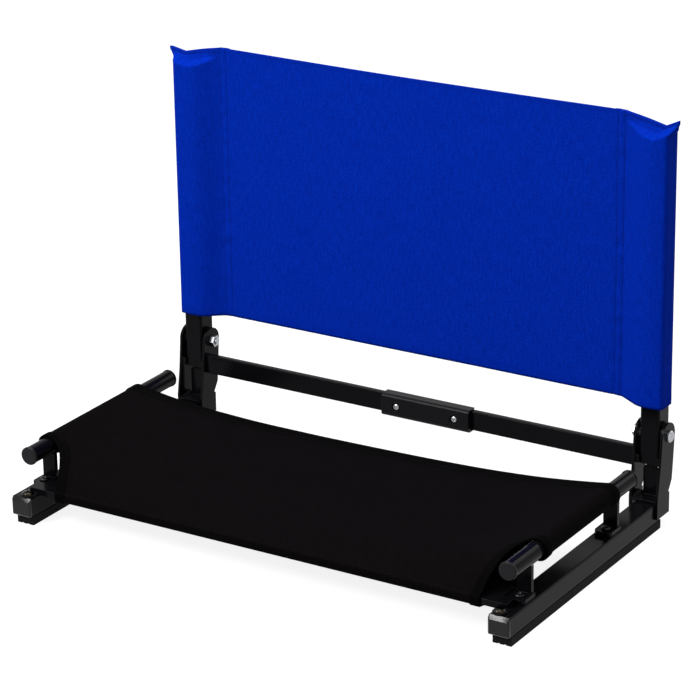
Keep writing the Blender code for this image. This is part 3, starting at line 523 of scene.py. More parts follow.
class GrowingTree(Nodes):
    """Geometry Nodes tree with named inputs, run once on a mesh."""

    def __init__(self, name: str, **inputs: float) -> None:
        """Makes the tree with its geometry sockets and its named inputs.

        Args:
            name: Name of the tree.
            inputs: Name and value of each input. A whole number makes a whole-number input.
        """
        super().__init__(bpy.data.node_groups.new(name, "GeometryNodeTree"))
        for way in ("INPUT", "OUTPUT"):
            self.tree.interface.new_socket("Geometry", in_out=way, socket_type="NodeSocketGeometry")
        self.identifiers: dict[str, str] = {}
        for label, value in inputs.items():
            kind = "NodeSocketInt" if isinstance(value, int) else "NodeSocketFloat"
            socket = self.tree.interface.new_socket(label, in_out="INPUT", socket_type=kind)
            socket.default_value = value
            self.identifiers[label] = socket.identifier
        self.entry = self.tree.nodes.new("NodeGroupInput").outputs

    def cube(self, size: Socket) -> Socket:
        """Adds a box and gives its mesh."""
        return self.add("GeometryNodeMeshCube", {"Size": size}).outputs[0]

    def ball(self, segments: int, rings: int) -> Socket:
        """Adds a ball of radius 1 and gives its mesh."""
        values = {"Segments": segments, "Rings": rings, "Radius": 1.0}
        return self.add("GeometryNodeMeshUVSphere", values).outputs[0]

    def moved(self, geometry: Socket, **changes: object) -> Socket:
        """Moves, turns or scales a geometry and gives the result."""
        return self.add("GeometryNodeTransform", {"Geometry": geometry, **changes}).outputs[0]

    def scatter(self, points: Socket, item: Socket, turn: Socket, material: bpy.types.Material) -> None:
        """Sets an item on every point and ends the tree in Realize Instances and Set Material.

        Args:
            points: Where the copies go.
            item: What is copied.
            turn: How each copy is turned.
            material: The finish.
        """
        values = {"Points": points, "Instance": item, "Rotation": turn}
        copies = self.add("GeometryNodeInstanceOnPoints", values)
        real = self.add("GeometryNodeRealizeInstances", {"Geometry": copies.outputs[0]})
        painted = self.add("GeometryNodeSetMaterial", {"Geometry": real.outputs[0], "Material": material})
        self.add("NodeGroupOutput", {0: painted.outputs[0]})

    def run(self, mesh: bpy.types.Mesh, name: str, **sizes: float) -> bpy.types.Object:
        """Runs the tree on a mesh.

        Args:
            mesh: Points or paths that the tree works on.
            name: Name of the finished piece.
            sizes: Values of the named inputs.

        Returns:
            The result as a plain mesh object.
        """
        carrier = shown(f"{name}_path", mesh)
        step = carrier.modifiers.new("nodes", "NODES")
        step.node_group = self.tree
        for label, value in sizes.items():
            step[self.identifiers[label]] = value
        return settled(carrier, name)


def stitch_tree(material: bpy.types.Material) -> GrowingTree:
    """Tree that sews a row of stitches along every path of a mesh.

    Args:
        material: The thread.

    Returns:
        The tree.
    """
    sewn = GrowingTree(f"stitches_of_{material.name}", pitch=0.0034, length=0.0025, thickness=0.0005, seed=7)
    entry = sewn.entry
    curve = sewn.add("GeometryNodeMeshToCurve", {0: entry["Geometry"]}).outputs[0]
    even = sewn.add("GeometryNodeResampleCurve", {"Curve": curve, "Length": entry["pitch"]}, mode="LENGTH")
    radius = sewn.math("MULTIPLY", entry["thickness"], 0.5)
    size = sewn.vector(sewn.math("MULTIPLY", entry["length"], 0.5), radius, radius)
    stitch = sewn.moved(sewn.ball(8, 6), Scale=size)
    along = sewn.add("GeometryNodeInputTangent").outputs[0]
    jitter = sewn.add("FunctionNodeRandomValue", {0: (-0.06,) * 3, 1: (0.06,) * 3, "Seed": entry["seed"]},
                      data_type="FLOAT_VECTOR").outputs[0]
    heading = sewn.vector_math("ADD", along, jitter).outputs[0]
    turn = sewn.add("FunctionNodeAlignRotationToVector", {"Vector": heading}, axis="X").outputs[0]
    sewn.scatter(even.outputs[0], stitch, turn, material)
    return sewn


def screw_tree(material: bpy.types.Material) -> GrowingTree:
    """Tree that sets a domed screw with a cross recess on every point, along its facing attribute.

    Args:
        material: The metal.

    Returns:
        The tree.
    """
    made = GrowingTree(f"screws_of_{material.name}", head_radius=0.0053, head_height=0.0028,
                       shank_radius=0.0021, shank_length=0.012, seed=3)
    entry = made.entry
    radius, height = entry["head_radius"], entry["head_height"]
    dome = made.moved(made.ball(40, 20), Scale=made.vector(radius, radius, height))
    wide = made.math("MULTIPLY", radius, 3.0)
    block = made.cube(made.vector(wide, wide, made.math("MULTIPLY", height, 2.0)))
    below = made.moved(block, Translation=made.vector(z=made.math("MULTIPLY", height, -1.0)))
    slot_length = made.math("MULTIPLY", radius, 0.98)
    slot_width = made.math("MULTIPLY", radius, 0.22)
    bar = made.cube(made.vector(slot_length, slot_width, height))
    first = made.moved(bar, Translation=made.vector(z=made.math("MULTIPLY", height, 0.98)))
    second = made.moved(first, Rotation=(0.0, 0.0, math.pi / 2))
    head = made.add("GeometryNodeMeshBoolean", {"Mesh 1": dome}, operation="DIFFERENCE", solver="EXACT")
    for cutter in (below, first, second):
        made.feed(head, {"Mesh 2": cutter})
    shank = made.add("GeometryNodeMeshCylinder", {"Vertices": 20, "Radius": entry["shank_radius"],
                                                  "Depth": entry["shank_length"]}).outputs[0]
    sunk = made.vector(z=made.math("MULTIPLY", entry["shank_length"], -0.502))
    stem = made.moved(shank, Translation=sunk)
    whole = made.add("GeometryNodeJoinGeometry")
    for part in (head.outputs[0], stem):
        made.feed(whole, {0: part})
    facing = made.add("GeometryNodeInputNamedAttribute", {"Name": "facing"}, data_type="FLOAT_VECTOR")
    upright = made.add("FunctionNodeAlignRotationToVector", {"Vector": facing.outputs[0]}, axis="Z")
    spin = made.add("FunctionNodeRandomValue", {2: -0.7, 3: 0.7, "Seed": entry["seed"]}, data_type="FLOAT")
    twist = made.add("FunctionNodeAxisAngleToRotation", {"Axis": (0.0, 0.0, 1.0), "Angle": spin.outputs[1]})
    turned = made.add("FunctionNodeRotateRotation", {0: upright.outputs[0], 1: twist.outputs[0]},
                      rotation_space="LOCAL")
    made.scatter(entry["Geometry"], whole.outputs[0], turned.outputs[0], material)
    return made


def paths_mesh(name: str, paths: Sequence[Sequence[Point]]) -> bpy.types.Mesh:
    """Mesh of open paths made of edges alone.

    Args:
        name: Name of the mesh.
        paths: The points of each path.

    Returns:
        The mesh.
    """
    points: list[Point] = []
    edges: list[tuple[int, int]] = []
    for path in paths:
        first = len(points)
        points.extend(path)
        edges.extend((first + index, first + index + 1) for index in range(len(path) - 1))
    mesh = bpy.data.meshes.new(name)
    mesh.from_pydata(points, edges, [])
    return mesh


def points_mesh(name: str, places: Sequence[Point], facing: Point) -> bpy.types.Mesh:
    """Mesh of loose points that share one facing.

    Args:
        name: Name of the mesh.
        places: The points.
        facing: The way that each one faces.

    Returns:
        The mesh with its facing attribute.
    """
    mesh = bpy.data.meshes.new(name)
    mesh.from_pydata(list(places), [], [])
    attribute = mesh.attributes.new("facing", "FLOAT_VECTOR", "POINT")
    for entry in attribute.data:
        entry.vector = facing
    return mesh


@dataclass
class Screws:
    """A set of equal screws that stand for CAD screws."""

    name: str
    nodes: tuple[str, ...]
    facing: Point
    head_radius: float
    head_height: float
    shank_radius: float
    crease: float = math.radians(35)

    def seat(self, node: str) -> tuple[Point, float]:
        """Finds where a screw's head sits and how long its shank is.

        Args:
            node: Name of the CAD screw.

        Returns:
            The middle of the head's underside, and the shank's length.
        """
        low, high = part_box(node)
        middle = (low + high) / 2
        axis = Vector(self.facing)
        reach = abs((high - low).dot(axis)) / 2
        under = middle + axis * (reach - self.head_height)
        return tuple(under), 2 * reach - self.head_height

    def build(self, material: bpy.types.Material) -> None:
        """Makes the screws on the base.

        Args:
            material: The metal.
        """
        seats = [self.seat(node) for node in self.nodes]
        mesh = points_mesh(self.name, [place for place, _ in seats], self.facing)
        piece = screw_tree(material).run(mesh, self.name, head_radius=self.head_radius,
                                         head_height=self.head_height, shank_radius=self.shank_radius,
                                         shank_length=seats[0][1])
        piece.data.set_sharp_from_angle(angle=self.crease)
        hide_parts(*self.nodes)
        placed(piece, Body.BASE)


def cloth_mesh(name: str, columns: Sequence[Sequence[Point]]) -> bpy.types.Mesh:
    """Sheet through columns of points, with a UV map in metres along both ways of the weave.

    Args:
        name: Name of the mesh.
        columns: Points of each column; a long column may stand beside a short one.

    Returns:
        The mesh.
    """
    build = bmesh.new()
    grid = [[build.verts.new(point) for point in column] for column in columns]
    uv = build.loops.layers.uv.new("cloth")
    across = [0.0]
    for first, second in zip(columns, columns[1:]):
        middle = min(len(first), len(second)) // 3
        across.append(across[-1] + length_of((first[middle], second[middle])))
    down: dict[bmesh.types.BMVert, tuple[float, float]] = {}
    for index, column in enumerate(grid):
        travelled = 0.0
        for row, vert in enumerate(column):
            travelled += (vert.co - column[row - 1].co).length if row else 0.0
            down[vert] = (across[index], travelled)
    for first, second in zip(grid, grid[1:]):
        for row in range(min(len(first), len(second)) - 1):
            face = build.faces.new([first[row], second[row], second[row + 1], first[row + 1]])
            for loop in face.loops:
                loop[uv].uv = down[loop.vert]
    mesh = bpy.data.meshes.new(name)
    faced(build, mesh)
    return mesh


def nearest(point: Vector, path: Sequence[Vector]) -> float:
    """Distance from a point to the nearest stretch of a path.

    Args:
        point: The point.
        path: The path's points.

    Returns:
        The distance, at most one metre.
    """
    best = 1.0
    for first, second in zip(path, path[1:]):
        along = second - first
        share = min(1.0, max(0.0, (point - first).dot(along) / max(along.length_squared, 1e-12)))
        best = min(best, (point - first - along * share).length)
    return best


def thickened(mesh: bpy.types.Mesh, name: str, thickness: float, hem: Sequence[float],
              hem_gain: float) -> bpy.types.Object:
    """Gives a sheet its wall, thicker along its hems.

    Args:
        mesh: The sheet.
        name: Name of the piece.
        thickness: Wall away from the hems.
        hem: Share of hem at each point, 0 to 1.
        hem_gain: How many times thicker a hem is.

    Returns:
        The closed piece.
    """
    item = shown(name, mesh)
    group = item.vertex_groups.new(name="wall")
    for index, share in enumerate(hem):
        group.add([index], blended(1 / hem_gain, 1.0, share), "REPLACE")
    # The hem share is also kept for the cloth's material, which darkens the hems with painted shade.
    mesh.attributes.new("hem", "FLOAT", "POINT").data.foreach_set("value", list(hem))
    wall = item.modifiers.new("wall", "SOLIDIFY")
    wall.thickness = thickness * hem_gain
    wall.offset = 0.0
    wall.use_even_offset = True
    wall.vertex_group = group.name
    return settled(item, name)


@dataclass(frozen=True)
class SeatEdge:
    """How the seat cover lies on one side, with places in metres behind the rails' fronts."""

    front_over: float
    front_under: float
    rear: float
    bar_end: float
    hem_sharpness: float
    pocket_reach: float
    slack: float


@dataclass
class SeatCover:
    """Black stretched seat: sleeves round both tubes, a pocket round the front bar and hemmed corners."""

    cloth: float = 0.0012
    ease: float = 0.0005
    gap: float = 0.0003
    front_y: float = -0.1495
    bar_front: float = 0.0134
    bar_back: float = 0.0474
    bar_top: float = 0.0325
    bar_under: float = 0.0267
    rise_start: float = 0.0149
    leave_angle: float = math.radians(18)
    fall_length: float = 0.080
    sag: float = 0.0097
    sag_end: float = 0.184
    swap_x: float = 0.15
    ripple: float = 0.00022
    ripple_run: float = 0.03
    ripple_rates: tuple[float, float] = (22.0, 14.0)
    rear_dip: float = 0.009
    corner_rise: float = 2.6
    corner_x: float = 0.195
    corner_y: float = 0.09
    hem_curve: float = 1.6
    sleeve_reach: float = 0.022
    sleeve_turn: float = math.radians(250)
    under_angle: float = math.radians(5)
    under_turn: float = math.radians(35)
    loose_length: float = 0.022
    layer_gap: float = 0.0019
    pocket_reach: float = 0.022
    pocket_side: float = 0.2335
    pocket_droop: float = 0.35
    pocket_straight: float = 0.02
    hem_width: float = 0.0088
    hem_gain: float = 1.75
    rear_hem_gain: float = 1.3
    corner_row: float = 0.80
    hem_margin: float = 0.0009
    hem_fade: float = 0.0012
    hem_steps: int = 40
    thread_gap: float = 0.00005
    rear_row_x: float = 0.235
    rows: int = 58
    row_crowding: float = 1.45
    turn_steps: int = 18
    tail_steps: int = 3
    inner_stops: int = 14
    measured_column: int = 40
    near_bar_end: tuple[float, ...] = (0.0125, 0.0105, 0.0093, 0.0084, 0.0070, 0.0050, 0.0030, 0.0015, 0.0)
    past_bar_end: tuple[float, ...] = (0.03, 0.07, 0.12, 0.18, 0.25, 0.33, 0.42, 0.52, 0.62, 0.72, 0.81,
                                       0.90, 1.0)
    left: SeatEdge = SeatEdge(0.0440, 0.0497, 0.188, 0.2145, 0.62, 0.012, 0.0003)
    right: SeatEdge = SeatEdge(0.0650, 0.0665, 0.198, 0.2204, 0.85, 0.034, 0.0011)

    def __post_init__(self) -> None:
        """Takes the tubes' places from the model."""
        low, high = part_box("seat_tube_right")
        self.tube_x = (low.x + high.x) / 2
        self.tube_z = (low.z + high.z) / 2
        self.wrap = (high.x - low.x) / 2 + self.ease + self.cloth / 2
        self.leave_x = self.tube_x - self.wrap * math.sin(self.leave_angle)
        self.leave_z = self.tube_z + self.wrap * math.cos(self.leave_angle)
        self.skin = self.bar_top + self.gap + self.cloth / 2
        self.under = self.bar_under - self.gap - self.cloth / 2

    def edge(self, x: float) -> SeatEdge:
        """Picks the side that a point is on."""
        return self.right if x > 0 else self.left

    def hem_front(self, x: float) -> float:
        """Where the front hem runs at a distance from the middle.

        Args:
            x: The distance.

        Returns:
            The hem's place behind the rails' fronts.
        """
        edge = self.edge(x)
        swing = max(0.0, abs(x) - edge.bar_end) / (self.leave_x - edge.bar_end)
        hollow = (1 - (1 - min(1.0, swing)) ** self.hem_curve) ** edge.hem_sharpness
        return blended(self.rise_start, edge.front_over, hollow)

    def hem_rear(self, x: float) -> float:
        """Where the rear hem runs at a distance from the middle."""
        share = (x / self.leave_x + 1) / 2
        return blended(self.left.rear, self.right.rear, share) - self.rear_dip * (1 - (x / self.leave_x) ** 4)

    def front_round(self, edge: SeatEdge, angle: float) -> float:
        """Where the front hem runs at an angle round a tube, over it or under it."""
        low = smooth((self.under_angle - angle) / self.under_turn)
        return blended(edge.front_over, edge.front_under, low)

    def height(self, x: float, behind: float) -> float:
        """Height of the cloth's middle over a spot of the seat.

        Args:
            x: Distance from the middle.
            behind: Distance behind the rails' fronts.

        Returns:
            The height.
        """
        past = max(0.0, behind - self.rise_start)
        side = smooth((x + self.swap_x) / (2 * self.swap_x))
        corner = blended(self.left.front_over, self.right.front_over, side)
        side_share = 1 - (1 - min(1.0, past / (corner - self.rise_start))) ** self.corner_rise
        side_z = blended(self.skin, self.leave_z, side_share)
        middle_z = blended(self.skin, self.leave_z - self.sag, past / (self.sag_end - self.rise_start))
        share = math.cosh(x / self.fall_length) / math.cosh(self.leave_x / self.fall_length)
        across, along = self.ripple_rates
        wave = self.ripple * noise.noise(Vector((x * across, behind * along, 0.3)))
        return blended(middle_z, side_z, share) + wave * smooth((behind - self.ripple_run) / self.ripple_run)

    def row_place(self, row: int, front: float, rear: float) -> float:
        """Spaces the rows closely at the front hem."""
        return front + (rear - front) * (1 - row / self.rows) ** self.row_crowding

    def over(self, x: float) -> list[Point]:
        """Column over the seat's top, from the rear hem to the front one.

        Args:
            x: Distance of the column from the middle.

        Returns:
            The column's points.
        """
        front, rear = self.hem_front(x), self.hem_rear(x)
        places = [self.row_place(row, front, rear) for row in range(self.rows + 1)]
        return [(x, self.front_y + place, self.height(x, place)) for place in places]

    def pocket(self, x: float) -> list[Point]:
        """Column on over the bar's front, under it and up behind it.

        Args:
            x: Distance of the column from the middle.

        Returns:
            The column's points.
        """
        reach = self.cloth / 2 + self.gap
        points = []
        for height, start in ((self.bar_top, 90), (self.bar_under, 180)):
            for turn in (0.0, 22.5, 45.0, 67.5, 90.0):
                angle = math.radians(start + turn)
                y = self.bar_front + reach * math.cos(angle)
                points.append((x, self.front_y + y, height + reach * math.sin(angle)))
        corner = (abs(x) / self.edge(x).bar_end) ** 6
        spread = blended(abs(x), self.pocket_side, corner) if corner > self.pocket_straight else abs(x)
        wide = math.copysign(spread, x)
        back = self.bar_back + self.cloth
        for share in even_shares(6):
            y = blended(self.bar_front, back, share)
            points.append((blended(x, wide, share), self.front_y + y, self.under))
        onward = blended(self.pocket_reach, self.edge(x).pocket_reach, corner)
        for share in even_shares(8):
            behind = back + onward * share
            rise = self.height(wide, behind) - self.layer_gap - self.under
            lifted = self.under + rise * share * (1 - self.pocket_droop * corner)
            points.append((wide, self.front_y + behind, lifted))
        return points

    def sleeve(self, side: Side) -> list[list[Point]]:
        """Columns that go on round a tube and in under the seat.

        Args:
            side: Which tube.

        Returns:
            The columns, from the top outwards and back in.
        """
        rear = self.hem_rear(side.value * self.leave_x)
        end_x = self.tube_x - self.sleeve_reach
        first = math.pi / 2 + self.leave_angle
        columns = []
        for step in range(1, self.turn_steps + self.tail_steps + 1):
            turned = min(1.0, step / self.turn_steps)
            onward = max(0, step - self.turn_steps) / self.tail_steps
            front = self.front_round(self.edge(side.value), first - turned * self.sleeve_turn)
            column = []
            for row in range(self.rows + 1):
                place = self.row_place(row, front, rear)
                end_z = self.height(side.value * end_x, place) - self.layer_gap
                toward = math.atan2(end_z - self.tube_z, -self.sleeve_reach) % (2 * math.pi)
                last = toward + math.acos(self.wrap / math.hypot(self.sleeve_reach, end_z - self.tube_z))
                angle = blended(first + 2 * math.pi, last, turned)
                radius = self.wrap + self.loose(side, place, turned)
                x = blended(self.tube_x + radius * math.cos(angle), end_x, onward)
                z = blended(self.tube_z + radius * math.sin(angle), end_z, onward)
                column.append((side.value * x, self.front_y + place, z))
            columns.append(column)
        return columns

    def loose(self, side: Side, place: float, turned: float) -> float:
        """How far the cloth stands off the tube at its slack front end.

        Args:
            side: Which tube.
            place: Distance behind the rails' fronts.
            turned: Share of the way round the tube.

        Returns:
            The distance.
        """
        edge = self.edge(side.value)
        near_front = smooth((edge.front_over + self.loose_length - place) / self.loose_length)
        return edge.slack * near_front * math.sin(math.pi * min(1.0, turned)) ** 2

    def stops(self, side: Side) -> list[float]:
        """Places the columns, close together at the bar's end.

        Args:
            side: Which side of the seat.

        Returns:
            Their distances from the middle.
        """
        end = self.edge(side.value).bar_end
        inner = [end * step / self.inner_stops for step in range(self.inner_stops)]
        near = [end - short for short in self.near_bar_end]
        outer = [blended(end, self.leave_x, share) for share in self.past_bar_end]
        return [x for x in inner if x < near[0] - 0.002] + near + outer

    def columns(self) -> list[list[Point]]:
        """Lays out every column of the cover.

        Returns:
            The columns, from under the left tube to under the right one.
        """
        halves = {}
        for side in Side:
            end = self.edge(side.value).bar_end
            half = []
            for stop in self.stops(side):
                x = side.value * max(stop, 1e-6)
                half.append(self.over(x) + (self.pocket(x)[1:] if stop <= end + 1e-9 else []))
            halves[side] = half + self.sleeve(side)
        return halves[Side.LEFT][::-1] + halves[Side.RIGHT][1:]

    def hem_path(self, side: Side, inset: float) -> list[Vector]:
        """Line along a corner's hem, moved in from the edge.

        Args:
            side: Which corner.
            inset: Distance from the edge, in plan.

        Returns:
            The points on the middle of the cloth, from the bar to the tube's far side.
        """
        edge = self.edge(side.value)
        plan = []
        for share in even_shares(self.hem_steps, 0):
            x = blended(edge.bar_end, self.leave_x, share ** 1.5)
            plan.append(Vector((x, self.hem_front(side.value * x))))
        line = []
        for index, spot in enumerate(plan):
            along = plan[min(index + 1, self.hem_steps)] - plan[max(index - 1, 0)]
            moved = spot + Vector((-along.y, along.x)).normalized() * inset
            if moved.x <= self.leave_x:
                x = side.value * moved.x
                line.append(Vector((x, self.front_y + moved.y, self.height(x, moved.y))))
        for step in range(1, 9):
            angle = math.pi / 2 + self.leave_angle - math.radians(20) * step
            front = self.front_round(edge, angle) + inset
            radius = self.wrap + self.loose(side, front, step / 16)
            line.append(Vector((side.value * (self.tube_x + radius * math.cos(angle)), self.front_y + front,
                                self.tube_z + radius * math.sin(angle))))
        return line

    def hem_shares(self, mesh: bpy.types.Mesh) -> list[float]:
        """Finds where the sheet is hem.

        Args:
            mesh: The sheet.

        Returns:
            Share of hem at every point, 0 to 1.
        """
        lines = {}
        foot_y = self.front_y + self.bar_front - self.hem_margin
        for side in Side:
            foot_x = side.value * self.edge(side.value).bar_end
            foot = [Vector((foot_x, foot_y, z)) for z in (self.under, self.skin)]
            lines[side] = foot + self.hem_path(side, 0.0)
        shares = []
        for vertex in mesh.vertices:
            spot = vertex.co
            behind = spot.y - self.front_y
            rear = self.hem_rear(max(-self.leave_x, min(self.leave_x, spot.x)))
            if behind > rear - self.hem_width * self.rear_hem_gain:
                shares.append(1.0)
                continue
            near = abs(spot.x) > self.corner_x and behind < self.corner_y
            gap = nearest(spot, lines[Side.RIGHT if spot.x > 0 else Side.LEFT]) if near else 1.0
            shares.append(smooth((self.hem_width + self.hem_margin - gap) / self.hem_fade))
        return shares

    def build(self, finishes: Finishes, thread: GrowingTree) -> None:
        """Makes the cover, its hems and its stitches.

        Args:
            finishes: The materials.
            thread: The tree that sews.
        """
        columns = self.columns()
        mesh = cloth_mesh("seat_cover_sheet", columns)
        mesh.materials.append(finishes.seat_cloth)
        shares = self.hem_shares(mesh)
        top = max(range(len(mesh.vertices)), key=lambda index: mesh.vertices[index].co.z)
        outward = 1 if mesh.vertices[top].normal.z > 0 else -1
        normals = [vertex.normal.copy() for vertex in mesh.vertices]
        for vertex, share, normal in zip(mesh.vertices, shares, normals):
            vertex.co += normal * (outward * share * self.cloth * (self.hem_gain - 1) / 2)
        cover = thickened(mesh, "seat_cover_cloth", self.cloth, shares, self.hem_gain)
        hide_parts("seat_cover")
        placed(cover, Body.BASE)
        stitches = self.sew(thread)

    def sew(self, thread: GrowingTree) -> bpy.types.Object:
        """Sews the hems of both corners and of the rear edge.

        Args:
            thread: The tree that sews.

        Returns:
            The stitches.
        """
        lift = self.cloth * self.hem_gain * 0.5 + self.cloth * (self.hem_gain - 1) / 2 + self.thread_gap
        rows = []
        for side in Side:
            line = self.hem_path(side, self.hem_width * self.corner_row)
            rows.append([(spot.x, spot.y, spot.z + lift) for spot in line if abs(spot.x) <= self.leave_x])
        rear = []
        for share in even_shares(80, 0):
            x = blended(-self.rear_row_x, self.rear_row_x, share)
            place = self.hem_rear(x) - self.hem_width
            rear.append((x, self.front_y + place, self.height(x, place) + lift))
        rows.append(rear)
        piece = thread.run(paths_mesh("seat_rows", rows), "seat_cover_stitches",
                           pitch=0.0030, length=0.0022, thickness=0.00045)
        return placed(piece, Body.BASE)


@dataclass(frozen=True)
class BackEdge:
    """How one side of the blue cover lies in the photo, in metres."""

    slack: float
    ear_x: float
    ear_top: float
    fold_rise: float


@dataclass
class BackCover:
    """Blue back: one panel whose ends are sleeved round the posts and sewn back onto it."""

    cloth: float = 0.0012
    gap: float = 0.0003
    lap_gap: float = 0.0002
    seam: float = 0.2062
    flap_end: float = 0.1995
    split: float = 0.2108
    stitch_rows: tuple[float, float] = (0.2030, 0.2095)
    bottom_sleeve: float = 0.1136
    bottom_panel: float = 0.1152
    bottom_run: float = 0.030
    top_panel: float = 0.3785
    top_valley: float = 0.3703
    valley_x: float = 0.2480
    left: BackEdge = BackEdge(0.0026, 0.2641, 0.3734, 0.0010)
    right: BackEdge = BackEdge(0.0010, 0.2607, 0.3764, 0.0040)
    ridge_outer: float = 0.3604
    ridge_seam: float = 0.3715
    ridge_bend_x: float = 0.2370
    ridge_run: float = 0.0110
    shelf: float = 0.75
    shelf_end: float = 0.3
    slope_x: float = 0.2440
    slope_run: float = 0.0120
    flat_below_top: float = 0.0030
    top_sag: float = 0.0012
    corner: float = 0.0034
    bulge: float = 0.0010
    flat_inner: float = 0.2375
    flat_face: float = 0.2560
    flat_side: float = 0.2590
    seam_rate: float = 95.0
    pucker_depth: float = 0.00085
    pucker_reach: float = 0.0062
    dip_depth: float = 0.00040
    dip_reach: float = 0.0011
    panel_rates: tuple[float, float] = (9.0, 11.0)
    wave_depth: float = 0.0006
    hollow_depth: float = 0.0008
    top_hem: float = 0.0042
    top_fade: float = 0.0015
    bottom_hem: float = 0.010
    bottom_fade: float = 0.002
    bottom_share: float = 0.7
    hem_gain: float = 1.2
    thread_gap: float = 0.00008
    ear_row_lift: float = 0.00035
    ear_row_short: float = 0.002
    ear_row_down: float = 0.0026
    rows: int = 132
    row_crowding: float = 1.35
    plain_x: float = 0.190
    plain_steps: int = 26
    flap_stops: tuple[float, ...] = (0.2095, 0.2075, 0.2055, 0.2030, 0.2012)
    seam_stops: tuple[float, ...] = (0.1940, 0.1965, 0.1985, 0.2000, 0.2010, 0.2020, 0.2026, 0.2030, 0.2034,
                                     0.2040, 0.2050, 0.2062, 0.2074, 0.2084, 0.2091, 0.2095, 0.2099)

    def __post_init__(self) -> None:
        """Takes the posts' places from the model."""
        low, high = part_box("back_post_right")
        self.middle_y = (low.y + high.y) / 2
        reach = self.gap + self.cloth / 2
        self.inner_x = low.x - reach
        self.outer_x = high.x + reach
        self.deep = (high.y - low.y) / 2 + reach

    def edge(self, x: float) -> BackEdge:
        """Gives the edge of the side that an X is on."""
        return self.left if x < 0 else self.right

    def top(self, x: float) -> float:
        """Height of the top edge, laid flat.

        Args:
            x: Distance from the middle.

        Returns:
            The height.
        """
        away = abs(x)
        if away <= self.seam:
            return self.top_panel - self.top_sag * (1 - (away / self.seam) ** 2) ** 1.5
        if away <= self.valley_x:
            share = (away - self.seam) / (self.valley_x - self.seam)
            return blended(self.top_panel, self.top_valley, share ** 1.3)
        edge = self.edge(x)
        return blended(self.top_valley, edge.ear_top, (away - self.valley_x) / (edge.ear_x - self.valley_x))

    def bottom(self, x: float) -> float:
        """Height of the lower hem."""
        share = min(1.0, max(0.0, (abs(x) - self.stitch_rows[0]) / self.bottom_run))
        return blended(self.bottom_panel, self.bottom_sleeve, share)

    def ridge(self, x: float) -> float:
        """Height where the cloth folds back over the post's top.

        Args:
            x: Distance from the middle, laid flat.

        Returns:
            The height.
        """
        share = (abs(x) - self.seam) / (self.ridge_bend_x - self.seam)
        rise = self.edge(x).fold_rise * smooth((abs(x) - self.valley_x) / self.ridge_run)
        return blended(self.ridge_seam, self.ridge_outer, min(1.0, max(0.0, share))) + rise

    def sleeve_stations(self, edge: BackEdge) -> list[tuple[float, float, float]]:
        """Stations round a right-hand post.

        Args:
            edge: The side's own sizes.

        Returns:
            For each one: its X and its Y offset round the post, and its X laid flat.
        """
        outer_x = self.outer_x + edge.slack
        face = outer_x - self.corner
        side = self.deep - self.corner
        stations = []
        for share in even_shares(8, 0):
            stations.append((blended(self.split, self.inner_x, share),
                             -self.deep * blended(share, smooth(share), 0.4),
                             blended(self.split, self.flat_inner, share)))
        for share in even_shares(7):
            bulge = self.bulge * math.sin(math.pi * share)
            stations.append((blended(self.inner_x, face, share), -self.deep - bulge,
                             blended(self.flat_inner, self.flat_face, share)))
        for share in even_shares(4):
            angle = math.radians(270 + 90 * share)
            stations.append((face + self.corner * math.cos(angle), -side + self.corner * math.sin(angle),
                             blended(self.flat_face, self.flat_side, share)))
        for share in even_shares(4):
            stations.append((outer_x, blended(-side, 0.0, share), blended(self.flat_side, edge.ear_x, share)))
        mirrored = [(x, -y, flat) for x, y, flat in reversed(stations[:-1])]
        return stations + mirrored

    def folded(self, x: float, y: float, flat: float, z: float, top: float) -> tuple[float, float]:
        """Moves a station from round the post to the flat top hem.

        Args:
            x: Its X round the post.
            y: Its Y offset round the post.
            flat: Its X laid flat.
            z: Height of the point.
            top: Height of the top edge there.

        Returns:
            The X and the Y offset at that height.
        """
        ridge = self.ridge(flat)
        share = min(1.0, max(0.0, (z - ridge) / max(0.001, top - self.flat_below_top - ridge)))
        thin = math.copysign(0.5 * self.cloth + self.lap_gap, y) if abs(y) > 1e-6 else 0.0
        shelf = self.shelf * smooth(share / self.shelf_end) + (1 - self.shelf) * share
        eased = blended(shelf, share, smooth((abs(flat) - self.slope_x) / self.slope_run))
        return blended(x, flat, share ** 0.5), blended(y, thin, eased)

    def pucker(self, x: float, z: float) -> float:
        """Dimples that the seam's stitches pull into the cloth.

        Args:
            x: Distance from the middle, laid flat.
            z: Height.

        Returns:
            Their depth there.
        """
        near = math.exp(-((abs(x) - self.seam) / self.pucker_reach) ** 2)
        wave = noise.noise(Vector((math.copysign(3.1, x), z * self.seam_rate, 1.7)))
        dip = sum(math.exp(-((abs(x) - row) / self.dip_reach) ** 2) for row in self.stitch_rows)
        return self.pucker_depth * wave * near + self.dip_depth * dip

    def relaxed(self, x: float, z: float) -> float:
        """Slight hollow and slow waves of the panel between the posts.

        Args:
            x: Distance from the middle.
            z: Height.

        Returns:
            How far back the cloth lies there.
        """
        share = max(0.0, 1 - (abs(x) / self.seam) ** 2)
        up = (z - self.bottom_panel) / (self.top_panel - self.bottom_panel)
        across, along = self.panel_rates
        wave = noise.noise(Vector((x * across, z * along, 4.2)))
        hollow = math.sin(math.pi * min(1.0, max(0.0, up)))
        return share * (self.wave_depth * wave + self.hollow_depth * hollow)

    def rise(self, row: int) -> float:
        """Spaces the rows more closely towards the top."""
        return 1 - (1 - row / self.rows) ** self.row_crowding

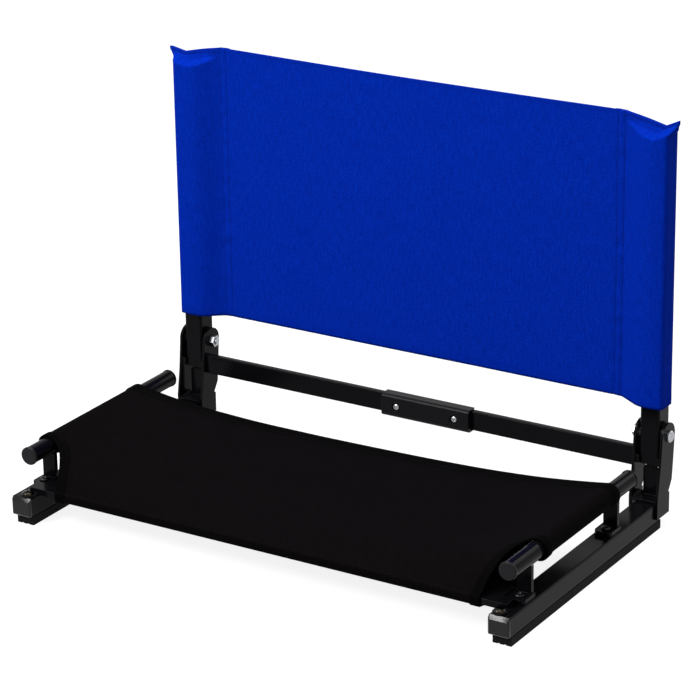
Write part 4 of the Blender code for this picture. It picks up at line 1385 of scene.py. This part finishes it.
    def column(self, x: float, y: float, flat: float, sleeve: bool) -> list[Point]:
        """Column of the cover from the lower hem to the top one.

        Args:
            x: X of the station round the post.
            y: Y offset of the station round the post.
            flat: X of the station laid flat.
            sleeve: Whether the column is on a sleeve rather than on the panel.

        Returns:
            The column's points.
        """
        low, high = self.bottom(flat), self.top(flat)
        points = []
        for row in range(self.rows + 1):
            z = blended(low, high, self.rise(row))
            if sleeve:
                over_x, over_y = self.folded(x, y, flat, z, high)
            else:
                over_x, over_y = x, y + self.relaxed(x, z)
            over_y += self.pucker(flat, z)
            points.append((over_x, self.middle_y + over_y, z))
        return points

    def stations(self) -> list[tuple[float, float, float, bool]]:
        """Every station of the cloth, from the left flap's end to the right flap's end."""
        left = [(-x, y, -flat, sleeve) for x, y, flat, sleeve in reversed(self.half(self.left)[1:])]
        return left + self.half(self.right)

    def half(self, edge: BackEdge) -> list[tuple[float, float, float, bool]]:
        """Stations from the middle to a right-hand flap's end.

        Args:
            edge: The side's own sizes.

        Returns:
            For each station: its X and Y offset, its X laid flat and whether it is on the sleeve.
        """
        half = [(x, 0.0, x, False) for x in self.panel_stops()]
        half += [(x, y, flat, True) for x, y, flat in self.sleeve_stations(edge)]
        lap = self.cloth + self.lap_gap
        half[-1] = (self.split, lap, self.split, False)
        return half + [(x, lap, x, False) for x in (*self.flap_stops, self.flap_end)]

    def panel_stops(self) -> list[float]:
        """Distances of the panel's columns from the middle, close together at the stitches."""
        plain = [self.plain_x * step / self.plain_steps for step in range(self.plain_steps + 1)]
        return plain + list(self.seam_stops)

    def hem_share(self, spot: Vector) -> float:
        """Share of hem at a point of the sheet.

        Args:
            spot: The point.

        Returns:
            The share, 0 to 1.
        """
        below_top = self.top(spot.x) - spot.z
        above_bottom = spot.z - self.bottom(spot.x)
        return max(smooth((self.top_hem - below_top) / self.top_fade),
                   self.bottom_share * smooth((self.bottom_hem - above_bottom) / self.bottom_fade))

    def build(self, finishes: Finishes, thread: GrowingTree) -> None:
        """Makes the cover and its stitches.

        Args:
            finishes: The materials.
            thread: The tree that sews.
        """
        columns = [self.column(*station) for station in self.stations()]
        mesh = cloth_mesh("back_cover_sheet", columns)
        mesh.materials.append(finishes.back_cloth)
        shares = [self.hem_share(vertex.co) for vertex in mesh.vertices]
        cover = thickened(mesh, "back_cover_cloth", self.cloth, shares, self.hem_gain)
        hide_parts("back_cover")
        placed(cover, Body.BACKREST)
        stitches = self.sew(thread)

    def sew(self, thread: GrowingTree) -> bpy.types.Object:
        """Sews the sleeves onto the panel and the ears shut.

        Args:
            thread: The tree that sews.

        Returns:
            The stitches.
        """
        lift = self.cloth / 2 + self.thread_gap
        ear_lift = self.cloth * 1.1 + self.ear_row_lift
        rows = []
        for side in Side:
            for x in (side.value * row for row in self.stitch_rows):
                low, high = self.bottom(x) + 0.002, self.top(x) - 0.001
                heights = [blended(low, high, share) for share in even_shares(120, 0)]
                for offset in (-lift, self.cloth + self.lap_gap + lift):
                    rows.append([(x, self.middle_y + offset + self.pucker(x, z), z) for z in heights])
            tip = self.edge(side.value).ear_x - self.ear_row_short
            stops = [side.value * blended(self.split, tip, share) for share in even_shares(40, 0)]
            for face in (-1, 1):
                rows.append([(x, self.middle_y + face * ear_lift, self.top(x) - self.ear_row_down)
                             for x in stops])
        piece = thread.run(paths_mesh("back_rows", rows), "back_cover_stitches",
                           pitch=0.0034, length=0.0026, thickness=0.0006)
        return placed(piece, Body.BACKREST)


@dataclass
class FrontPlugs:
    """Plugs in the rails' fronts, with a steep top bevel that catches the key lamp."""

    bevel: float = 0.0012
    top_rise: float = 0.0038
    top_run: float = 0.0027
    flange: float = 0.0028
    insert_margin: float = 0.0024
    corner: float = 0.0011
    crease: float = math.radians(28)

    def outline(self, low: Vector, high: Vector, side: float, over: float, behind: float) -> list[Point]:
        """Rounded outline across a plug.

        Args:
            low: The plug's lowest corner.
            high: Its highest corner.
            side: How far the outline stays in from the sides and the bottom.
            over: How far it stays in from the top.
            behind: Its place behind the plug's front.

        Returns:
            The outline's points.
        """
        inner = side + self.corner
        left, right = low.x + inner, high.x - inner
        top, bottom = high.z - over - self.corner, low.z + inner
        turns = ((right, top, 0), (left, top, 90), (left, bottom, 180), (right, bottom, 270))
        return [(x + self.corner * math.cos(math.radians(start + turn)), low.y + behind,
                 z + self.corner * math.sin(math.radians(start + turn)))
                for x, z, start in turns for turn in (0, 30, 60, 90)]

    def sections(self, deep: float) -> list[tuple[float, float, float]]:
        """Sizes of a plug's outlines, from its front to its rear.

        Args:
            deep: Length of the plug.

        Returns:
            For each outline: its inset, its inset from the top and its place behind the front.
        """
        part_way = self.top_rise * (1 - self.bevel / self.top_run)
        margin = self.insert_margin
        return [(self.bevel, self.top_rise, 0.0), (0.0, part_way, self.bevel), (0.0, 0.0, self.top_run),
                (0.0, 0.0, self.flange), (margin, margin, self.flange), (margin, margin, deep)]

    def build(self, finishes: Finishes) -> None:
        """Makes both plugs.

        Args:
            finishes: The materials.
        """
        for name in both("rail_plug_front"):
            low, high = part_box(name)
            build = bmesh.new()
            rings = [[build.verts.new(point) for point in self.outline(low, high, *section)]
                     for section in self.sections(high.y - low.y)]
            for first, second in zip(rings, rings[1:]):
                for index, vert in enumerate(first):
                    onward = (index + 1) % len(first)
                    build.faces.new([vert, first[onward], second[onward], second[index]])
            for cap in (rings[0], rings[-1]):
                build.faces.new(cap)
            mesh = bpy.data.meshes.new(f"{name}_moulding")
            faced(build, mesh)
            mesh.shade_smooth()
            mesh.set_sharp_from_angle(angle=self.crease)
            mesh.materials.append(finishes.polished)
            piece = shown(mesh.name, mesh)
            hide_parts(name)
            placed(piece, Body.BASE)


@dataclass
class Base:
    """Rails, treads, plugs, seat tubes, straps and the front bar."""

    def build(self, finishes: Finishes) -> None:
        """Dresses the base and makes its front plugs and screws.

        Args:
            finishes: The materials.
        """
        dress(finishes.coat, *both("base_rail", "seat_tube", "tube_strap_front", "tube_strap_rear"),
              "front_bar")
        dress(finishes.plastic, *both("rail_plug_rear", "seat_tube_cap_front", "seat_tube_cap_rear"))
        FrontPlugs().build(finishes)
        dress(finishes.rubber, *both("tread_strip"))
        dress(finishes.oxide, *both("foot_screw_front", "foot_screw_rear"))
        Screws("front_bar_screws", both("front_bar_screw"), facing=(0.0, 0.0, 1.0), head_radius=0.0053,
               head_height=0.0028, shank_radius=0.0021).build(finishes.golden)


@dataclass
class Pivots:
    """Brackets with their bolts, nuts and washers."""

    def build(self, finishes: Finishes) -> None:
        """Dresses both pivots.

        Args:
            finishes: The materials.
        """
        dress(finishes.coat, *both("pivot_bracket"))
        dress(finishes.zinc, *both("pivot_bolt", "pivot_nut", "pivot_washer_outer", "pivot_washer_inner"))


@dataclass
class CarryBar:
    """Rear cross bar with its moulded grip."""

    def build(self, finishes: Finishes) -> None:
        """Dresses the bar and the grip and makes the grip's screws.

        Args:
            finishes: The materials.
        """
        dress(finishes.coat, "rear_cross_bar")
        dress(finishes.grip, "carry_grip")
        Screws("grip_screws", both("grip_screw"), facing=(0.0, -1.0, 0.0), head_radius=0.0032,
               head_height=0.0020, shank_radius=0.0018).build(finishes.zinc)


@dataclass
class Backrest:
    """Posts with their caps."""

    def build(self, finishes: Finishes) -> None:
        """Dresses the posts.

        Args:
            finishes: The materials.
        """
        dress(finishes.coat, *both("back_post"))
        dress(finishes.plastic, *both("post_cap"))


@dataclass
class Studio:
    """Pale floor, soft lamps, plain world and the camera."""

    eye: Point = (1.3617, -2.1611, 1.1412)
    azimuth: float = 0.558
    elevation: float = 0.3652
    roll: float = -0.0157
    lens: float = 159.88
    sensor: float = 36.0
    floor_size: float = 24.0
    floor_glow: float = 0.86
    floor_albedo: float = 0.22
    world_level: float = 0.42

    def seen_directly(self, nodes: Nodes) -> Socket:
        """Share that is 1 for rays from the camera and from gloss or glass.

        Args:
            nodes: The nodes that the share is for.

        Returns:
            The output socket.
        """
        rays = nodes.add("ShaderNodeLightPath").outputs
        mirrored = nodes.math("MAXIMUM", rays["Is Camera Ray"], rays["Is Glossy Ray"])
        return nodes.math("MAXIMUM", mirrored, rays["Is Transmission Ray"])

    def world(self) -> None:
        """White where it is seen and a soft grey where it lights."""
        world = bpy.data.worlds.new("studio")
        world.use_nodes = True
        nodes = Nodes(world.node_tree)
        level = nodes.add("ShaderNodeMapRange", {0: self.seen_directly(nodes), 3: self.world_level, 4: 1.0})
        white = opaque((1.0, 1.0, 1.0))
        nodes.feed(nodes.tree.nodes["Background"], {"Color": white, "Strength": level.outputs[0]})
        bpy.context.scene.world = world

    def floor(self) -> None:
        """Wide white floor that keeps the chair's shadow."""
        half = self.floor_size / 2
        corners = [(-half, -half, 0), (half, -half, 0), (half, half, 0), (-half, half, 0)]
        mesh = bpy.data.meshes.new("studio_floor")
        mesh.from_pydata(corners, [], [(0, 1, 2, 3)])
        floor = shown("studio_floor", mesh)
        material = bpy.data.materials.new("white_floor")
        material.use_nodes = True
        nodes = Nodes(material.node_tree)
        nodes.tree.nodes.clear()
        diffuse = nodes.add("ShaderNodeBsdfDiffuse", {"Color": opaque((self.floor_albedo,) * 3)})
        level = nodes.math("MULTIPLY", self.seen_directly(nodes), self.floor_glow)
        glow = nodes.add("ShaderNodeEmission", {"Strength": level})
        both_lit = nodes.add("ShaderNodeAddShader", {0: diffuse.outputs[0], 1: glow.outputs[0]})
        nodes.add("ShaderNodeOutputMaterial", {"Surface": both_lit.outputs[0]})
        mesh.materials.append(material)

    def lamp(self, name: str, place: Point, target: Point, size: float, power: float) -> None:
        """Hangs one soft square lamp.

        Args:
            name: Name of the lamp.
            place: Where it hangs.
            target: What it points at.
            size: Length of its side.
            power: Its power in watts.
        """
        data = bpy.data.lights.new(name, "AREA")
        data.size = size
        data.energy = power
        lamp = shown(name, data)
        lamp.location = place
        lamp.rotation_euler = (Vector(target) - Vector(place)).to_track_quat("-Z", "Y").to_euler()

    def camera(self) -> None:
        """Stands the camera where the photograph was taken from."""
        forward = Vector((-math.sin(self.azimuth) * math.cos(self.elevation),
                          math.cos(self.azimuth) * math.cos(self.elevation), -math.sin(self.elevation)))
        level_right = forward.cross(Vector((0, 0, 1))).normalized()
        level_up = level_right.cross(forward)
        right = math.cos(self.roll) * level_right + math.sin(self.roll) * level_up
        up = -math.sin(self.roll) * level_right + math.cos(self.roll) * level_up
        camera = shown("camera", bpy.data.cameras.new("camera"))
        placement = Matrix((right, up, -forward)).transposed().to_4x4()
        placement.translation = self.eye
        camera.matrix_world = placement
        camera.data.sensor_width = self.sensor
        camera.data.lens = self.lens
        bpy.context.scene.camera = camera

    def build(self) -> None:
        """Sets up the whole studio."""
        self.world()
        self.floor()
        self.lamp("key", (-1.1, -1.9, 1.9), (0.0, 0.0, 0.1), 0.9, 56.0)
        self.lamp("kicker", (-1.2, -1.0, 1.95), (0.1, 0.0, 0.1), 0.35, 13.0)
        self.lamp("overhead", (0.2, -0.2, 2.3), (0.0, 0.0, 0.1), 1.6, 34.0)
        self.lamp("fill", (2.2, -0.8, 1.0), (0.0, 0.0, 0.15), 1.2, 4.0)
        self.lamp("rear", (0.6, 2.4, 1.3), (0.0, 0.0, 0.15), 1.4, 14.0)
        self.camera()
        bpy.context.scene.view_settings.view_transform = "Standard"


def main() -> None:
    """Builds every sub-assembly in order."""
    logging.basicConfig(level=logging.INFO, format="%(name)s: %(message)s")
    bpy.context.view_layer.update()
    finishes = make_finishes()
    Base().build(finishes)
    Pivots().build(finishes)
    CarryBar().build(finishes)
    Backrest().build(finishes)
    SeatCover().build(finishes, stitch_tree(finishes.black_thread))
    BackCover().build(finishes, stitch_tree(finishes.blue_thread))
    Studio().build()


if __name__ == "__main__":
    main()
